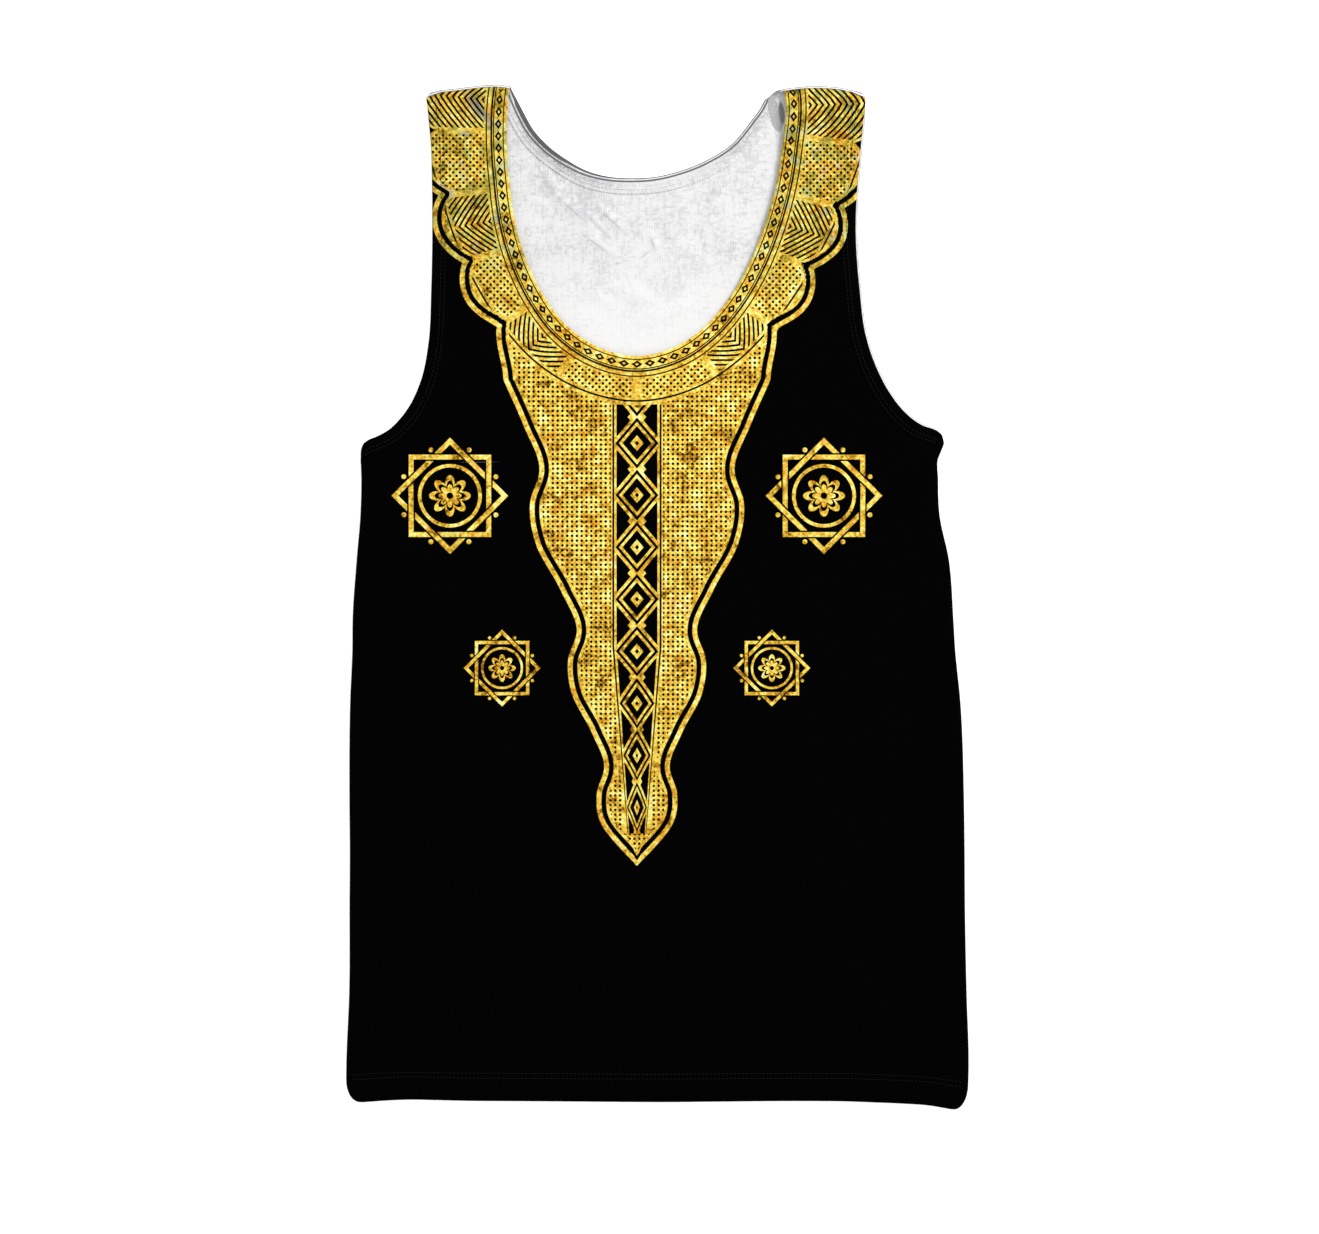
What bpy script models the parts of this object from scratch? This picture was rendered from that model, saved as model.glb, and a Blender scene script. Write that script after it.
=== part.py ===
"""Sleeveless knit tank top, laid flat on its back with the neckline towards +Y.

Left and right are as seen from above: left is -X. Heights up the garment ("up")
are measured from the hem, and "across" from the centre front line. The front and
the back are two cloth walls, joined over rolled folds at the sides and shoulders.
A doubled strip of cloth binds the neckline, and one binds each armhole.
"""

import math

import bpy
import numpy as np

# Cloth and seams, in metres.
CLOTH = 0.0012
HEM_CLOTH = 0.0020
BINDING_CLOTH = 0.0018
SEAM_GAP = 0.0003
BINDING_WIDTH = 0.0110
BINDING_PROUD = 0.0003
HEM_DEPTH = 0.0200

# The slanted seams over the shoulders open by this share of a seam gap.
SLANT_ROOM = 2.5

# A binding's rounded edge: how far in from the edge and how deep, as shares of half its thickness.
EDGE_ROUND = ((0.25, 0.4), (0.25, 1.6))

# Height of the front's outer face above the floor.
BODY_LEVEL = 0.0034
EDGE_LEVEL = 0.0046
FOLD_LEVEL = 0.0060
FOLD_REACH = 0.0300
EDGE_REACH = 0.0400
ROLL = FOLD_LEVEL / 2

# Necklines, from the shoulder down to the lowest point.
NECKLINES = {
    "front": (
        {"up": 0.7590, "left": -0.0955, "right": 0.1106},
        {"up": 0.7500, "left": -0.0966, "right": 0.1113},
        {"up": 0.7200, "left": -0.0975, "right": 0.1088},
        {"up": 0.6900, "left": -0.0955, "right": 0.1043},
        {"up": 0.6600, "left": -0.0915, "right": 0.0963},
        {"up": 0.6300, "left": -0.0828, "right": 0.0848},
        {"up": 0.6030, "left": -0.0698, "right": 0.0698},
        {"up": 0.5805, "left": -0.0525, "right": 0.0510},
        {"up": 0.5663, "left": -0.0330, "right": 0.0320},
        {"up": 0.5576, "left": 0.0000, "right": 0.0000},
    ),
    "back": (
        {"up": 0.7590, "left": -0.0935, "right": 0.1032},
        {"up": 0.7540, "left": -0.0903, "right": 0.0975},
        {"up": 0.7425, "left": -0.0848, "right": 0.0905},
        {"up": 0.7300, "left": -0.0775, "right": 0.0795},
        {"up": 0.7175, "left": -0.0668, "right": 0.0680},
        {"up": 0.7060, "left": -0.0520, "right": 0.0500},
        {"up": 0.6970, "left": -0.0372, "right": 0.0288},
        {"up": 0.6932, "left": -0.0215, "right": 0.0135},
        {"up": 0.6919, "left": -0.0040, "right": -0.0040},
    ),
}

# Side folds, from the hem to the foot of the armhole binding.
SIDES = (
    {"up": 0.000, "left": -0.2180, "right": 0.2470},
    {"up": 0.030, "left": -0.2180, "right": 0.2480},
    {"up": 0.080, "left": -0.2160, "right": 0.2475},
    {"up": 0.150, "left": -0.2165, "right": 0.2453},
    {"up": 0.225, "left": -0.2160, "right": 0.2445},
    {"up": 0.300, "left": -0.2149, "right": 0.2423},
    {"up": 0.360, "left": -0.2138, "right": 0.2378},
    {"up": 0.405, "left": -0.2108, "right": 0.2335},
    {"up": 0.440, "left": -0.2075, "right": 0.2275},
    {"up": 0.465, "left": -0.2070, "right": 0.2252},
    {"up": 0.482, "left": -0.2070, "right": 0.2250},
    {"up": 0.492, "left": -0.2066, "right": 0.2303},
)
HEM_CORNER = 0.0090

# The hem's rise (+) and drop (-) across the garment.
HEM_LINE = (
    {"across": -0.218, "rise": -0.0004},
    {"across": -0.160, "rise": 0.0015},
    {"across": -0.080, "rise": 0.0008},
    {"across": 0.020, "rise": -0.0008},
    {"across": 0.130, "rise": 0.0003},
    {"across": 0.190, "rise": -0.0015},
    {"across": 0.236, "rise": -0.0062},
    {"across": 0.250, "rise": -0.0050},
)
HEM_LINE_REACH = 0.090

# Armhole edges, from the underarm tip up to the shoulder.
ARMHOLES = {
    "left": (
        {"across": -0.2066, "up": 0.4883},
        {"across": -0.2018, "up": 0.4950},
        {"across": -0.1875, "up": 0.5025},
        {"across": -0.1725, "up": 0.5175},
        {"across": -0.1613, "up": 0.5400},
        {"across": -0.1560, "up": 0.5663},
        {"across": -0.1541, "up": 0.6075},
        {"across": -0.1538, "up": 0.6600},
        {"across": -0.1553, "up": 0.7125},
        {"across": -0.1570, "up": 0.7500},
    ),
    "right": (
        {"across": 0.2303, "up": 0.4928},
        {"across": 0.2243, "up": 0.5018},
        {"across": 0.2085, "up": 0.5100},
        {"across": 0.1935, "up": 0.5250},
        {"across": 0.1823, "up": 0.5460},
        {"across": 0.1733, "up": 0.5700},
        {"across": 0.1673, "up": 0.6075},
        {"across": 0.1643, "up": 0.6488},
        {"across": 0.1673, "up": 0.7050},
        {"across": 0.1705, "up": 0.7500},
    ),
}
BACK_ARMHOLE_OUT = 0.0015
BACK_ARMHOLE_FADE = 0.0500
UNDERARM_TURN = 0.0450

# Shoulder folds, each from one end of the strap to the other.
SHOULDERS = {
    "left": (
        {"across": -0.1600, "up": 0.7525},
        {"across": -0.1500, "up": 0.7566},
        {"across": -0.1350, "up": 0.7588},
        {"across": -0.1000, "up": 0.7605},
        {"across": -0.0880, "up": 0.7585},
    ),
    "right": (
        {"across": 0.0980, "up": 0.7535},
        {"across": 0.1035, "up": 0.7560},
        {"across": 0.1125, "up": 0.7580},
        {"across": 0.1335, "up": 0.7601},
        {"across": 0.1535, "up": 0.7590},
        {"across": 0.1720, "up": 0.7540},
    ),
}
SHOULDER_CORNER = 0.0050

# Soft folds of the front: a ridge's middle, direction in degrees, half length, half width and height.
FOLDS = (
    {"across": -0.150, "up": 0.440, "turn": -40, "long": 0.080, "wide": 0.013, "high": 0.0024},
    {"across": -0.165, "up": 0.395, "turn": -58, "long": 0.065, "wide": 0.012, "high": 0.0015},
    {"across": 0.165, "up": 0.450, "turn": 222, "long": 0.085, "wide": 0.013, "high": 0.0030},
    {"across": 0.185, "up": 0.400, "turn": 240, "long": 0.070, "wide": 0.014, "high": 0.0019},
    {"across": -0.115, "up": 0.220, "turn": 84, "long": 0.150, "wide": 0.018, "high": 0.0022},
    {"across": 0.130, "up": 0.200, "turn": 97, "long": 0.165, "wide": 0.020, "high": 0.0026},
    {"across": 0.040, "up": 0.130, "turn": 88, "long": 0.110, "wide": 0.022, "high": 0.0016},
    {"across": -0.045, "up": 0.330, "turn": 70, "long": 0.100, "wide": 0.020, "high": 0.0014},
    {"across": 0.175, "up": 0.070, "turn": 140, "long": 0.075, "wide": 0.015, "high": 0.0026},
    {"across": -0.170, "up": 0.065, "turn": 48, "long": 0.060, "wide": 0.014, "high": 0.0019},
    {"across": 0.060, "up": 0.380, "turn": 112, "long": 0.090, "wide": 0.018, "high": 0.0015},
    {"across": -0.128, "up": 0.660, "turn": 78, "long": 0.055, "wide": 0.009, "high": 0.0012},
    {"across": 0.140, "up": 0.640, "turn": 100, "long": 0.060, "wide": 0.009, "high": 0.0013},
)
FOLD_BEND = 0.25
FOLD_CLEAR = 0.015

# Numbers of steps in each wall.
HEM_STEPS = (0.0, 0.0025, 0.0060, 0.0110, 0.0195, 0.0205)
BODY_ROWS = {"front": 25, "back": 17}
CHEST_ROWS = {"front": 0, "back": 9}
STRAP_ROWS = {"front": 22, "back": 13}
COLUMNS = {"front": 13, "back": 10}
ROLL_ANGLES = tuple(math.radians(a) for a in (30, 60, 90))
SHOULDER_ANGLES = tuple(math.radians(a) for a in (22.5, 45, 67.5, 90))
SIDE_OVER = tuple(math.radians(a) for a in (150, 120, 90, 60, 30))
SHOULDER_OVER = tuple(math.radians(a) for a in (22.5, 45, 67.5, 90, 112.5, 135, 157.5))
CURVE_STEPS = 400
GUIDE_STEPS = 24
SLOPE_STEP = 0.0005
SHARP_ANGLE = math.radians(40)

BLACK_CLOTH = (0.006, 0.006, 0.007, 1.0)
WHITE_CLOTH = (0.82, 0.82, 0.83, 1.0)
GOLD_CLOTH = (0.62, 0.40, 0.09, 1.0)


def column(rows, name):
    """One named column of a table as an array."""
    return np.array([row[name] for row in rows], float)


def smooth(at, places, values):
    """A cubic curve through (places, values), read at the given places."""
    slopes = np.gradient(values, places)
    i = np.clip(np.searchsorted(places, at, side="right") - 1, 0, len(places) - 2)
    step = places[i + 1] - places[i]
    t = np.clip((at - places[i]) / step, 0.0, 1.0)
    rise = values[i] * (2 * t**3 - 3 * t**2 + 1) + values[i + 1] * (3 * t**2 - 2 * t**3)
    return rise + step * (slopes[i] * (t**3 - 2 * t**2 + t) + slopes[i + 1] * (t**3 - t**2))


def ease(t):
    """0 to 1 with level ends."""
    t = np.clip(t, 0.0, 1.0)
    return t * t * (3 - 2 * t)


def lengths_along(points):
    """The distance along a line at each of its points."""
    steps = np.linalg.norm(np.diff(points, axis=0), axis=1)
    return np.concatenate([[0.0], np.cumsum(steps)])


def resample(points, count):
    """The line again, as count equal steps."""
    along = lengths_along(points)
    at = np.linspace(0.0, along[-1], count + 1)
    return np.stack([np.interp(at, along, points[:, k]) for k in range(2)], axis=1)


def curve_through(points):
    """A fine smooth line through a few points."""
    along = lengths_along(points)
    at = np.linspace(0.0, along[-1], CURVE_STEPS + 1)
    return np.stack([smooth(at, along, points[:, k]) for k in range(2)], axis=1)


def side_fold(up, side):
    """How far across a side's fold lies, drawn in at the hem's corner."""
    across = smooth(up, column(SIDES, "up"), column(SIDES, side))
    below = np.clip(HEM_CORNER - up, 0.0, HEM_CORNER)
    inset = HEM_CORNER - np.sqrt(HEM_CORNER**2 - below**2)
    return across - np.sign(across) * inset


def shoulder_fold(across, side):
    """How far up a shoulder's fold lies."""
    rows = SHOULDERS[side]
    return smooth(across, column(rows, "across"), column(rows, "up"))


def hem_rise(across, up):
    """The hem line's own rise, fading up the garment."""
    rise = smooth(across, column(HEM_LINE, "across"), column(HEM_LINE, "rise"))
    return rise * (1 - ease(up / HEM_LINE_REACH))


def up_to_roll(line, side):
    """An edge line stretched so that it ends where the shoulder's roll begins."""
    top = shoulder_fold(line[-1, 0], side) - ROLL
    up = line[0, 1] + (line[:, 1] - line[0, 1]) * (top - line[0, 1]) / (line[-1, 1] - line[0, 1])
    return np.stack([line[:, 0], up], axis=1)


def neck_edge(panel, side, count):
    """The finished neckline of one half, from its lowest point up to the shoulder's roll."""
    rows = NECKLINES[panel]
    halves = {name: np.stack([column(rows, name), column(rows, "up")], axis=1) for name in ("left", "right")}
    whole = curve_through(np.concatenate([halves["left"], halves["right"][-2::-1]]))
    lowest = int(np.argmin(whole[:, 1]))
    line = whole[lowest::-1] if side == "left" else whole[lowest:]
    return resample(up_to_roll(line, side), count)


def armhole_edge(panel, side, count):
    """The finished armhole edge, from the underarm tip up to the shoulder's roll."""
    rows = ARMHOLES[side]
    line = curve_through(np.stack([column(rows, "across"), column(rows, "up")], axis=1))
    along = lengths_along(line)
    if panel == "back":
        fade = ease(along / BACK_ARMHOLE_FADE) * ease((along[-1] - along) / BACK_ARMHOLE_FADE)
        line = line + BACK_ARMHOLE_OUT * fade[:, None] * side_normals(line, side)
    return resample(up_to_roll(line, side), count)


def side_normals(line, side):
    """Unit vectors square to an armhole line, pointing out of the garment."""
    ahead = np.gradient(line, axis=0)
    ahead /= np.linalg.norm(ahead, axis=1)[:, None]
    turned = np.stack([-ahead[:, 1], ahead[:, 0]], axis=1)
    return turned if side == "left" else -turned


def neck_normals(line, side):
    """Unit vectors square to a neckline, pointing into the cloth."""
    ahead = np.gradient(line, axis=0)
    ahead[0] = (-1.0 if side == "left" else 1.0, 0.0)
    ahead /= np.linalg.norm(ahead, axis=1)[:, None]
    turned = np.stack([-ahead[:, 1], ahead[:, 0]], axis=1)
    return turned if side == "left" else -turned


def neck_inwards(panel, side, count, width):
    """The neckline moved into the cloth by a width."""
    line = neck_edge(panel, side, count)
    moved = line + width * neck_normals(line, side)
    moved[-1, 1] = line[-1, 1]
    return moved


def armhole_inwards(panel, side, count, width):
    """The armhole edge moved into the cloth by a width. At the underarm it runs down the side fold."""
    line = armhole_edge(panel, side, count)
    along = lengths_along(line)
    share = ease(along / UNDERARM_TURN)[:, None]
    down = np.array([[0.0, -1.0]])
    way = share * -side_normals(line, side) + (1 - share) * down
    way /= np.linalg.norm(way, axis=1)[:, None]
    moved = line + width * way
    moved[0, 0] = side_fold(moved[0, 1], side)
    moved[-1, 1] = line[-1, 1]
    return moved


def distance(across, up, lines):
    """How far each point lies from the nearest of some lines."""
    best = np.full(np.shape(across), np.inf)
    for line in lines:
        for start, end in zip(line[:-1], line[1:]):
            step = end - start
            along = (across - start[0]) * step[0] + (up - start[1]) * step[1]
            t = np.clip(along / (step @ step), 0.0, 1.0)
            away = np.hypot(across - start[0] - t * step[0], up - start[1] - t * step[1])
            best = np.minimum(best, away)
    return best


def rolled_lines():
    """The side and shoulder folds, as lines."""
    found = []
    for side in ("left", "right"):
        up = np.linspace(0.0, ARMHOLES[side][0]["up"], GUIDE_STEPS)
        found.append(np.stack([side_fold(up, side), up], axis=1))
        rows = SHOULDERS[side]
        across = np.linspace(rows[0]["across"], rows[-1]["across"], GUIDE_STEPS)
        found.append(np.stack([across, shoulder_fold(across, side)], axis=1))
    return found


def free_lines():
    """The edges of the front that are not joined to the back."""
    found = [np.array([[SIDES[0]["left"], 0.0], [SIDES[0]["right"], 0.0]])]
    for side in ("left", "right"):
        found.append(neck_edge("front", side, GUIDE_STEPS))
        found.append(armhole_edge("front", side, GUIDE_STEPS))
    return found


ROLLED = rolled_lines()
FREE = free_lines()


def ridges(across, up):
    """The soft folds of the front, each a long low ridge that tapers at its ends."""
    total = np.zeros(np.shape(across))
    for fold in FOLDS:
        turn = math.radians(fold["turn"])
        dx, dy = across - fold["across"], up - fold["up"]
        along = (dx * math.cos(turn) + dy * math.sin(turn)) / fold["long"]
        aside = dy * math.cos(turn) - dx * math.sin(turn)
        aside = (aside - FOLD_BEND * fold["wide"] * along**2) / fold["wide"]
        total += fold["high"] * np.exp(-(aside**2)) * np.clip(1 - along**2, 0.0, 1.0) ** 2
    return total


def front_level(across, up):
    """Height of the front's outer face above the floor."""
    to_roll = np.maximum(distance(across, up, ROLLED) - ROLL, 0.0)
    puff = (FOLD_LEVEL - BODY_LEVEL) * np.exp(-((to_roll / FOLD_REACH) ** 2))
    to_edge = distance(across, up, FREE)
    inner = BINDING_WIDTH + SEAM_GAP
    lift = (EDGE_LEVEL - BODY_LEVEL) * (1 - ease((to_edge - inner) / EDGE_REACH))
    folds = ridges(across, up) * ease(to_roll / FOLD_CLEAR)
    return BODY_LEVEL + np.hypot(puff, lift * (1 - puff / FOLD_LEVEL)) + folds


def on_sheet(points, panel):
    """Places and outward directions on a panel's outer face, for points off the rolls."""
    across, up = points[:, 0], points[:, 1]
    if panel == "back":
        places = np.stack([across, up, np.zeros(len(points))], axis=1)
        return places, np.tile([0.0, 0.0, -1.0], (len(points), 1))
    near = SLOPE_STEP
    slope_x = (front_level(across + near, up) - front_level(across - near, up)) / (2 * near)
    slope_y = (front_level(across, up + near) - front_level(across, up - near)) / (2 * near)
    ways = np.stack([-slope_x, -slope_y, np.ones(len(points))], axis=1)
    ways /= np.linalg.norm(ways, axis=1)[:, None]
    return np.stack([across, up, front_level(across, up)], axis=1), ways


def rolled(ridge, outward, angle, panel):
    """Places and outward directions on a roll: ridge is its outermost line, angle 0 its flat start and
    90 degrees its seam, where the two panels stop half a seam gap short of each other."""
    facing = 1.0 if panel == "front" else -1.0
    ridge = np.atleast_2d(ridge)
    outward = np.asarray(outward, float)
    inset = ROLL * (1 - math.sin(angle))
    height = ROLL + facing * max(ROLL * math.cos(angle), SEAM_GAP / 2)
    places = np.column_stack([ridge - inset * outward, np.full(len(ridge), height)])
    way = np.array([*(math.sin(angle) * outward), facing * math.cos(angle)])
    return places, np.tile(way, (len(ridge), 1))


def between(start, end, count):
    """count equal steps from one point to another."""
    t = np.linspace(0.0, 1.0, count + 1)[:, None]
    return (1 - t) * np.asarray(start) + t * np.asarray(end)


def shoulder_ends(side, angle, panel, inner_width):
    """The neck and armhole ends of a strap's section on the shoulder roll, at a width in from the edges.
    The ends drift from the front's places to the back's, and the outer corner is drawn in."""
    turned = angle if panel == "front" else math.pi - angle
    share = turned / math.pi
    ends = []
    for edge_of in (neck_inwards, armhole_inwards):
        front = edge_of("front", side, STRAP_ROWS["front"], inner_width)[-1, 0]
        back = edge_of("back", side, STRAP_ROWS["back"], inner_width)[-1, 0]
        ends.append((1 - share) * front + share * back)
    sign = -1 if side == "left" else 1
    ends[1] -= sign * SHOULDER_CORNER * math.sin(angle) ** 3 * max(1 - inner_width / BINDING_WIDTH, 0.0)
    return ends


class Wall:
    """A cloth wall: patches of points on the outer face, made into one closed solid."""

    def __init__(self, name):
        self.name = name
        self.places = []
        self.ways = []
        self.thick = []
        self.quads = []
        self.count = 0

    def patch(self, places, ways, thick, flip):
        """Adds a grid of outer points, shaped rows x columns x 3."""
        rows, columns = places.shape[:2]
        index = self.count + np.arange(rows * columns).reshape(rows, columns)
        corners = np.stack([index[:-1, :-1], index[:-1, 1:], index[1:, 1:], index[1:, :-1]], axis=-1)
        quads = corners.reshape(-1, 4)
        self.quads.append(quads[:, ::-1] if flip else quads)
        self.places.append(places.reshape(-1, 3))
        self.ways.append(ways.reshape(-1, 3))
        self.thick.append(np.broadcast_to(thick, (rows, columns)).reshape(-1))
        self.count += rows * columns

    def build(self, colour):
        """Welds the patches, adds the inner face and the edges, and makes the object."""
        places, ways = np.concatenate(self.places), np.concatenate(self.ways)
        thick, quads = np.concatenate(self.thick), np.concatenate(self.quads)
        _, first, same = np.unique(np.round(places, 6), axis=0, return_index=True, return_inverse=True)
        places, ways, thick = places[first], ways[first], thick[first]
        quads = same.reshape(-1)[quads]
        inner = places - ways * thick[:, None]
        edges = np.concatenate([quads[:, [k, (k + 1) % 4]] for k in range(4)])
        known = {tuple(edge) for edge in edges.tolist()}
        rim = [edge for edge in edges.tolist() if (edge[1], edge[0]) not in known]
        n = len(places)
        faces = quads.tolist() + (quads[:, ::-1] + n).tolist()
        faces += [[b, a, a + n, b + n] for a, b in rim]
        return make_object(self.name, np.concatenate([places, inner]), faces, colour)


def make_object(name, points, faces, colour):
    """One mesh object with its own cloth material."""
    mesh = bpy.data.meshes.new(name)
    mesh.from_pydata(points.tolist(), [], faces)
    mesh.validate()
    mesh.shade_smooth()
    mesh.set_sharp_from_angle(angle=SHARP_ANGLE)
    material = bpy.data.materials.new(name)
    material.use_nodes = True
    shader = material.node_tree.nodes["Principled BSDF"]
    shader.inputs["Base Color"].default_value = colour
    shader.inputs["Roughness"].default_value = 0.9
    shader.inputs["Metallic"].default_value = 0.0
    mesh.materials.append(material)
    thing = bpy.data.objects.new(name, mesh)
    bpy.context.scene.collection.objects.link(thing)
    return thing


def body_patch(wall, panel, side, inner_line, outer_ups, thick):
    """The panel from a row of centre points out to the side fold, with its roll."""
    sign = -1.0 if side == "left" else 1.0
    places, ways = [], []
    for centre, up in zip(inner_line, outer_ups):
        ridge = np.array([side_fold(up, side), up])
        line = between(centre, ridge - [sign * ROLL, 0.0], COLUMNS[panel])
        line[:, 1] += hem_rise(line[:, 0], line[:, 1])
        ridge[1] += hem_rise(ridge[0], ridge[1])
        flat, out = on_sheet(line, panel)
        rolls = [rolled(ridge, (sign, 0.0), angle, panel) for angle in ROLL_ANGLES]
        places.append(np.concatenate([flat] + [r[0] for r in rolls]))
        ways.append(np.concatenate([out] + [r[1] for r in rolls]))
    flip = (side == "left") != (panel == "back")
    wall.patch(np.array(places), np.array(ways), np.array(thick)[:, None], flip)


def chest_patch(wall, panel, side, inner_line, outer_line):
    """Rows between two lines of the same number of points, off the side roll."""
    grid = [between(a, b, COLUMNS[panel]) for a, b in zip(inner_line, outer_line)]
    sheets = [on_sheet(line, panel) for line in grid]
    flip = (side == "left") != (panel == "back")
    places, ways = (np.array([sheet[k] for sheet in sheets]) for k in range(2))
    wall.patch(places, ways, CLOTH, flip)
    return places[-1], ways[-1]


def shoulder_patch(wall, panel, side, first):
    """The top of a strap, rolled over to the shoulder seam."""
    places, ways = [first[0]], [first[1]]
    for angle in SHOULDER_ANGLES:
        gap = SEAM_GAP * (1 + SLANT_ROOM * math.sin(angle))
        neck, arm = shoulder_ends(side, angle, panel, BINDING_WIDTH + gap)
        across = np.linspace(neck, arm, COLUMNS[panel] + 1)
        ridge = np.stack([across, shoulder_fold(across, side)], axis=1)
        place, way = rolled(ridge, (0.0, 1.0), angle, panel)
        places.append(place)
        ways.append(way)
    flip = (side == "left") != (panel == "back")
    wall.patch(np.array(places), np.array(ways), CLOTH, flip)


def panel_wall(panel, colour):
    """The front or the back: body, chest and two straps."""
    wall = Wall(f"{panel}_panel")
    inset = BINDING_WIDTH + SEAM_GAP
    for side in ("left", "right"):
        neck = neck_inwards(panel, side, STRAP_ROWS[panel], inset)
        rows = CHEST_ROWS[panel] + STRAP_ROWS[panel]
        arm = armhole_inwards(panel, side, rows, inset)
        hem = np.array(HEM_STEPS)
        body_top = neck[0, 1] if not CHEST_ROWS[panel] else NECKLINES["front"][-1]["up"]
        centre_ups = np.concatenate([hem, np.linspace(hem[-1], body_top, BODY_ROWS[panel] + 1)[1:]])
        side_ups = np.concatenate([hem, np.linspace(hem[-1], arm[0, 1], BODY_ROWS[panel] + 1)[1:]])
        centre = np.stack([np.zeros(len(centre_ups)), centre_ups], axis=1)
        thick = np.where(centre_ups < HEM_DEPTH, HEM_CLOTH, CLOTH)
        body_patch(wall, panel, side, centre, side_ups, thick)
        upper = np.linspace(body_top, neck[0, 1], CHEST_ROWS[panel] + 1)
        inner_line = np.concatenate([np.stack([np.zeros(len(upper)), upper], axis=1), neck[1:]])
        roll_in = np.array([(1.0 if side == "left" else -1.0) * ROLL, 0.0])
        outer_line = np.concatenate([arm[:1] + roll_in, arm[1:]])
        top = chest_patch(wall, panel, side, inner_line, outer_line)
        shoulder_patch(wall, panel, side, top)
    return wall.build(colour)


class Binding:
    """A doubled strip closed into a ring: sections from the seam side to the finished edge."""

    def __init__(self, name):
        self.name = name
        self.sections = []

    def add(self, seam, edge, way):
        """One section: outer-face points at the seam and at the edge, and the outward direction."""
        middle = (seam + edge) / 2
        inwards = (seam - edge) / np.linalg.norm(seam - edge)
        soft = BINDING_CLOTH / 2
        rounded = [edge + soft * (inwards * share - way * depth) for share, depth in EDGE_ROUND]
        outer = [seam, middle, edge + inwards * soft]
        inner = [point - way * BINDING_CLOTH for point in reversed(outer)]
        self.sections.append([*outer, *rounded, *inner])

    def build(self, colour, flip):
        """Joins the sections round the ring."""
        rings = np.array(self.sections)
        count, around = rings.shape[:2]
        index = np.arange(count * around).reshape(count, around)
        turn, step = np.roll(index, -1, axis=0), np.roll(index, -1, axis=1)
        both = np.roll(turn, -1, axis=1)
        quads = np.stack([index, turn, both, step], axis=-1).reshape(-1, 4)
        faces = (quads[:, ::-1] if flip else quads).tolist()
        return make_object(self.name, rings.reshape(-1, 3), faces, colour)

    def add_flat(self, seams, edges, panel):
        """Sections along a stretch that lies on the sheet, a little proud of the panel."""
        for seam, edge in zip(seams, edges):
            places, ways = on_sheet(np.stack([seam, edge]), panel)
            way = ways.mean(axis=0)
            way /= np.linalg.norm(way)
            proud = BINDING_PROUD if panel == "front" else 0.0
            self.add(places[0] + way * proud, places[1] + way * proud, way)

    def add_roll(self, seam_at, edge_at, outward, angles):
        """Sections round a roll, from the front's side over to the back's. seam_at and edge_at give the
        outermost line's point for an angle from 0 to 180 degrees."""
        for angle in angles:
            panel = "front" if angle <= math.pi / 2 else "back"
            bend = angle if panel == "front" else math.pi - angle
            proud = BINDING_PROUD * (1 + math.cos(angle)) / 2
            found = []
            for at in (seam_at, edge_at):
                place, way = round_roll(at(angle), outward, bend, panel)
                found.append(place + way * proud)
            self.add(found[0], found[1], way)


def round_roll(ridge, outward, bend, panel):
    """A place on a roll with no seam gap, and its outward direction."""
    facing = 1.0 if panel == "front" else -1.0
    out = np.array([*outward, 0.0])
    place = np.array([*ridge, ROLL]) - ROLL * (1 - math.sin(bend)) * out
    place[2] += facing * ROLL * math.cos(bend)
    way = out * math.sin(bend) + np.array([0.0, 0.0, facing * math.cos(bend)])
    return place, way


def shoulder_at(side, edge_number, width):
    """A function of the roll's angle, giving the point on the shoulder's outermost line at a width in."""

    def at(angle):
        panel = "front" if angle <= math.pi / 2 else "back"
        bend = angle if panel == "front" else math.pi - angle
        across = shoulder_ends(side, bend, panel, width)[edge_number]
        return np.array([across, float(shoulder_fold(across, side))])

    return at


def armhole_binding(side, colour):
    """The ring round one armhole: up the front, over the shoulder, down the back and round the underarm."""
    ring = Binding(f"armhole_binding_{side}")
    lines = {}
    for panel in ("front", "back"):
        rows = CHEST_ROWS[panel] + STRAP_ROWS[panel]
        lines[panel] = (
            armhole_inwards(panel, side, rows, BINDING_WIDTH),
            armhole_edge(panel, side, rows),
        )
    sign = -1.0 if side == "left" else 1.0
    foot = [np.array([side_fold(line[0, 1], side), line[0, 1]]) for line in lines["front"]]
    foot[1][0] = lines["front"][1][0, 0]
    start = [f - [sign * ROLL, 0.0] for f in foot]
    seams, edges = lines["front"]
    ring.add_flat([start[0], *seams[1:]], [start[1], *edges[1:]], "front")
    ring.add_roll(
        shoulder_at(side, 1, BINDING_WIDTH), shoulder_at(side, 1, 0.0), (0.0, 1.0), SHOULDER_OVER
    )
    seams, edges = lines["back"]
    ring.add_flat([*seams[:0:-1], start[0]], [*edges[:0:-1], start[1]], "back")
    ring.add_roll(lambda _: foot[0], lambda _: foot[1], (sign, 0.0), SIDE_OVER)
    return ring.build(colour, flip=side == "right")


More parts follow.
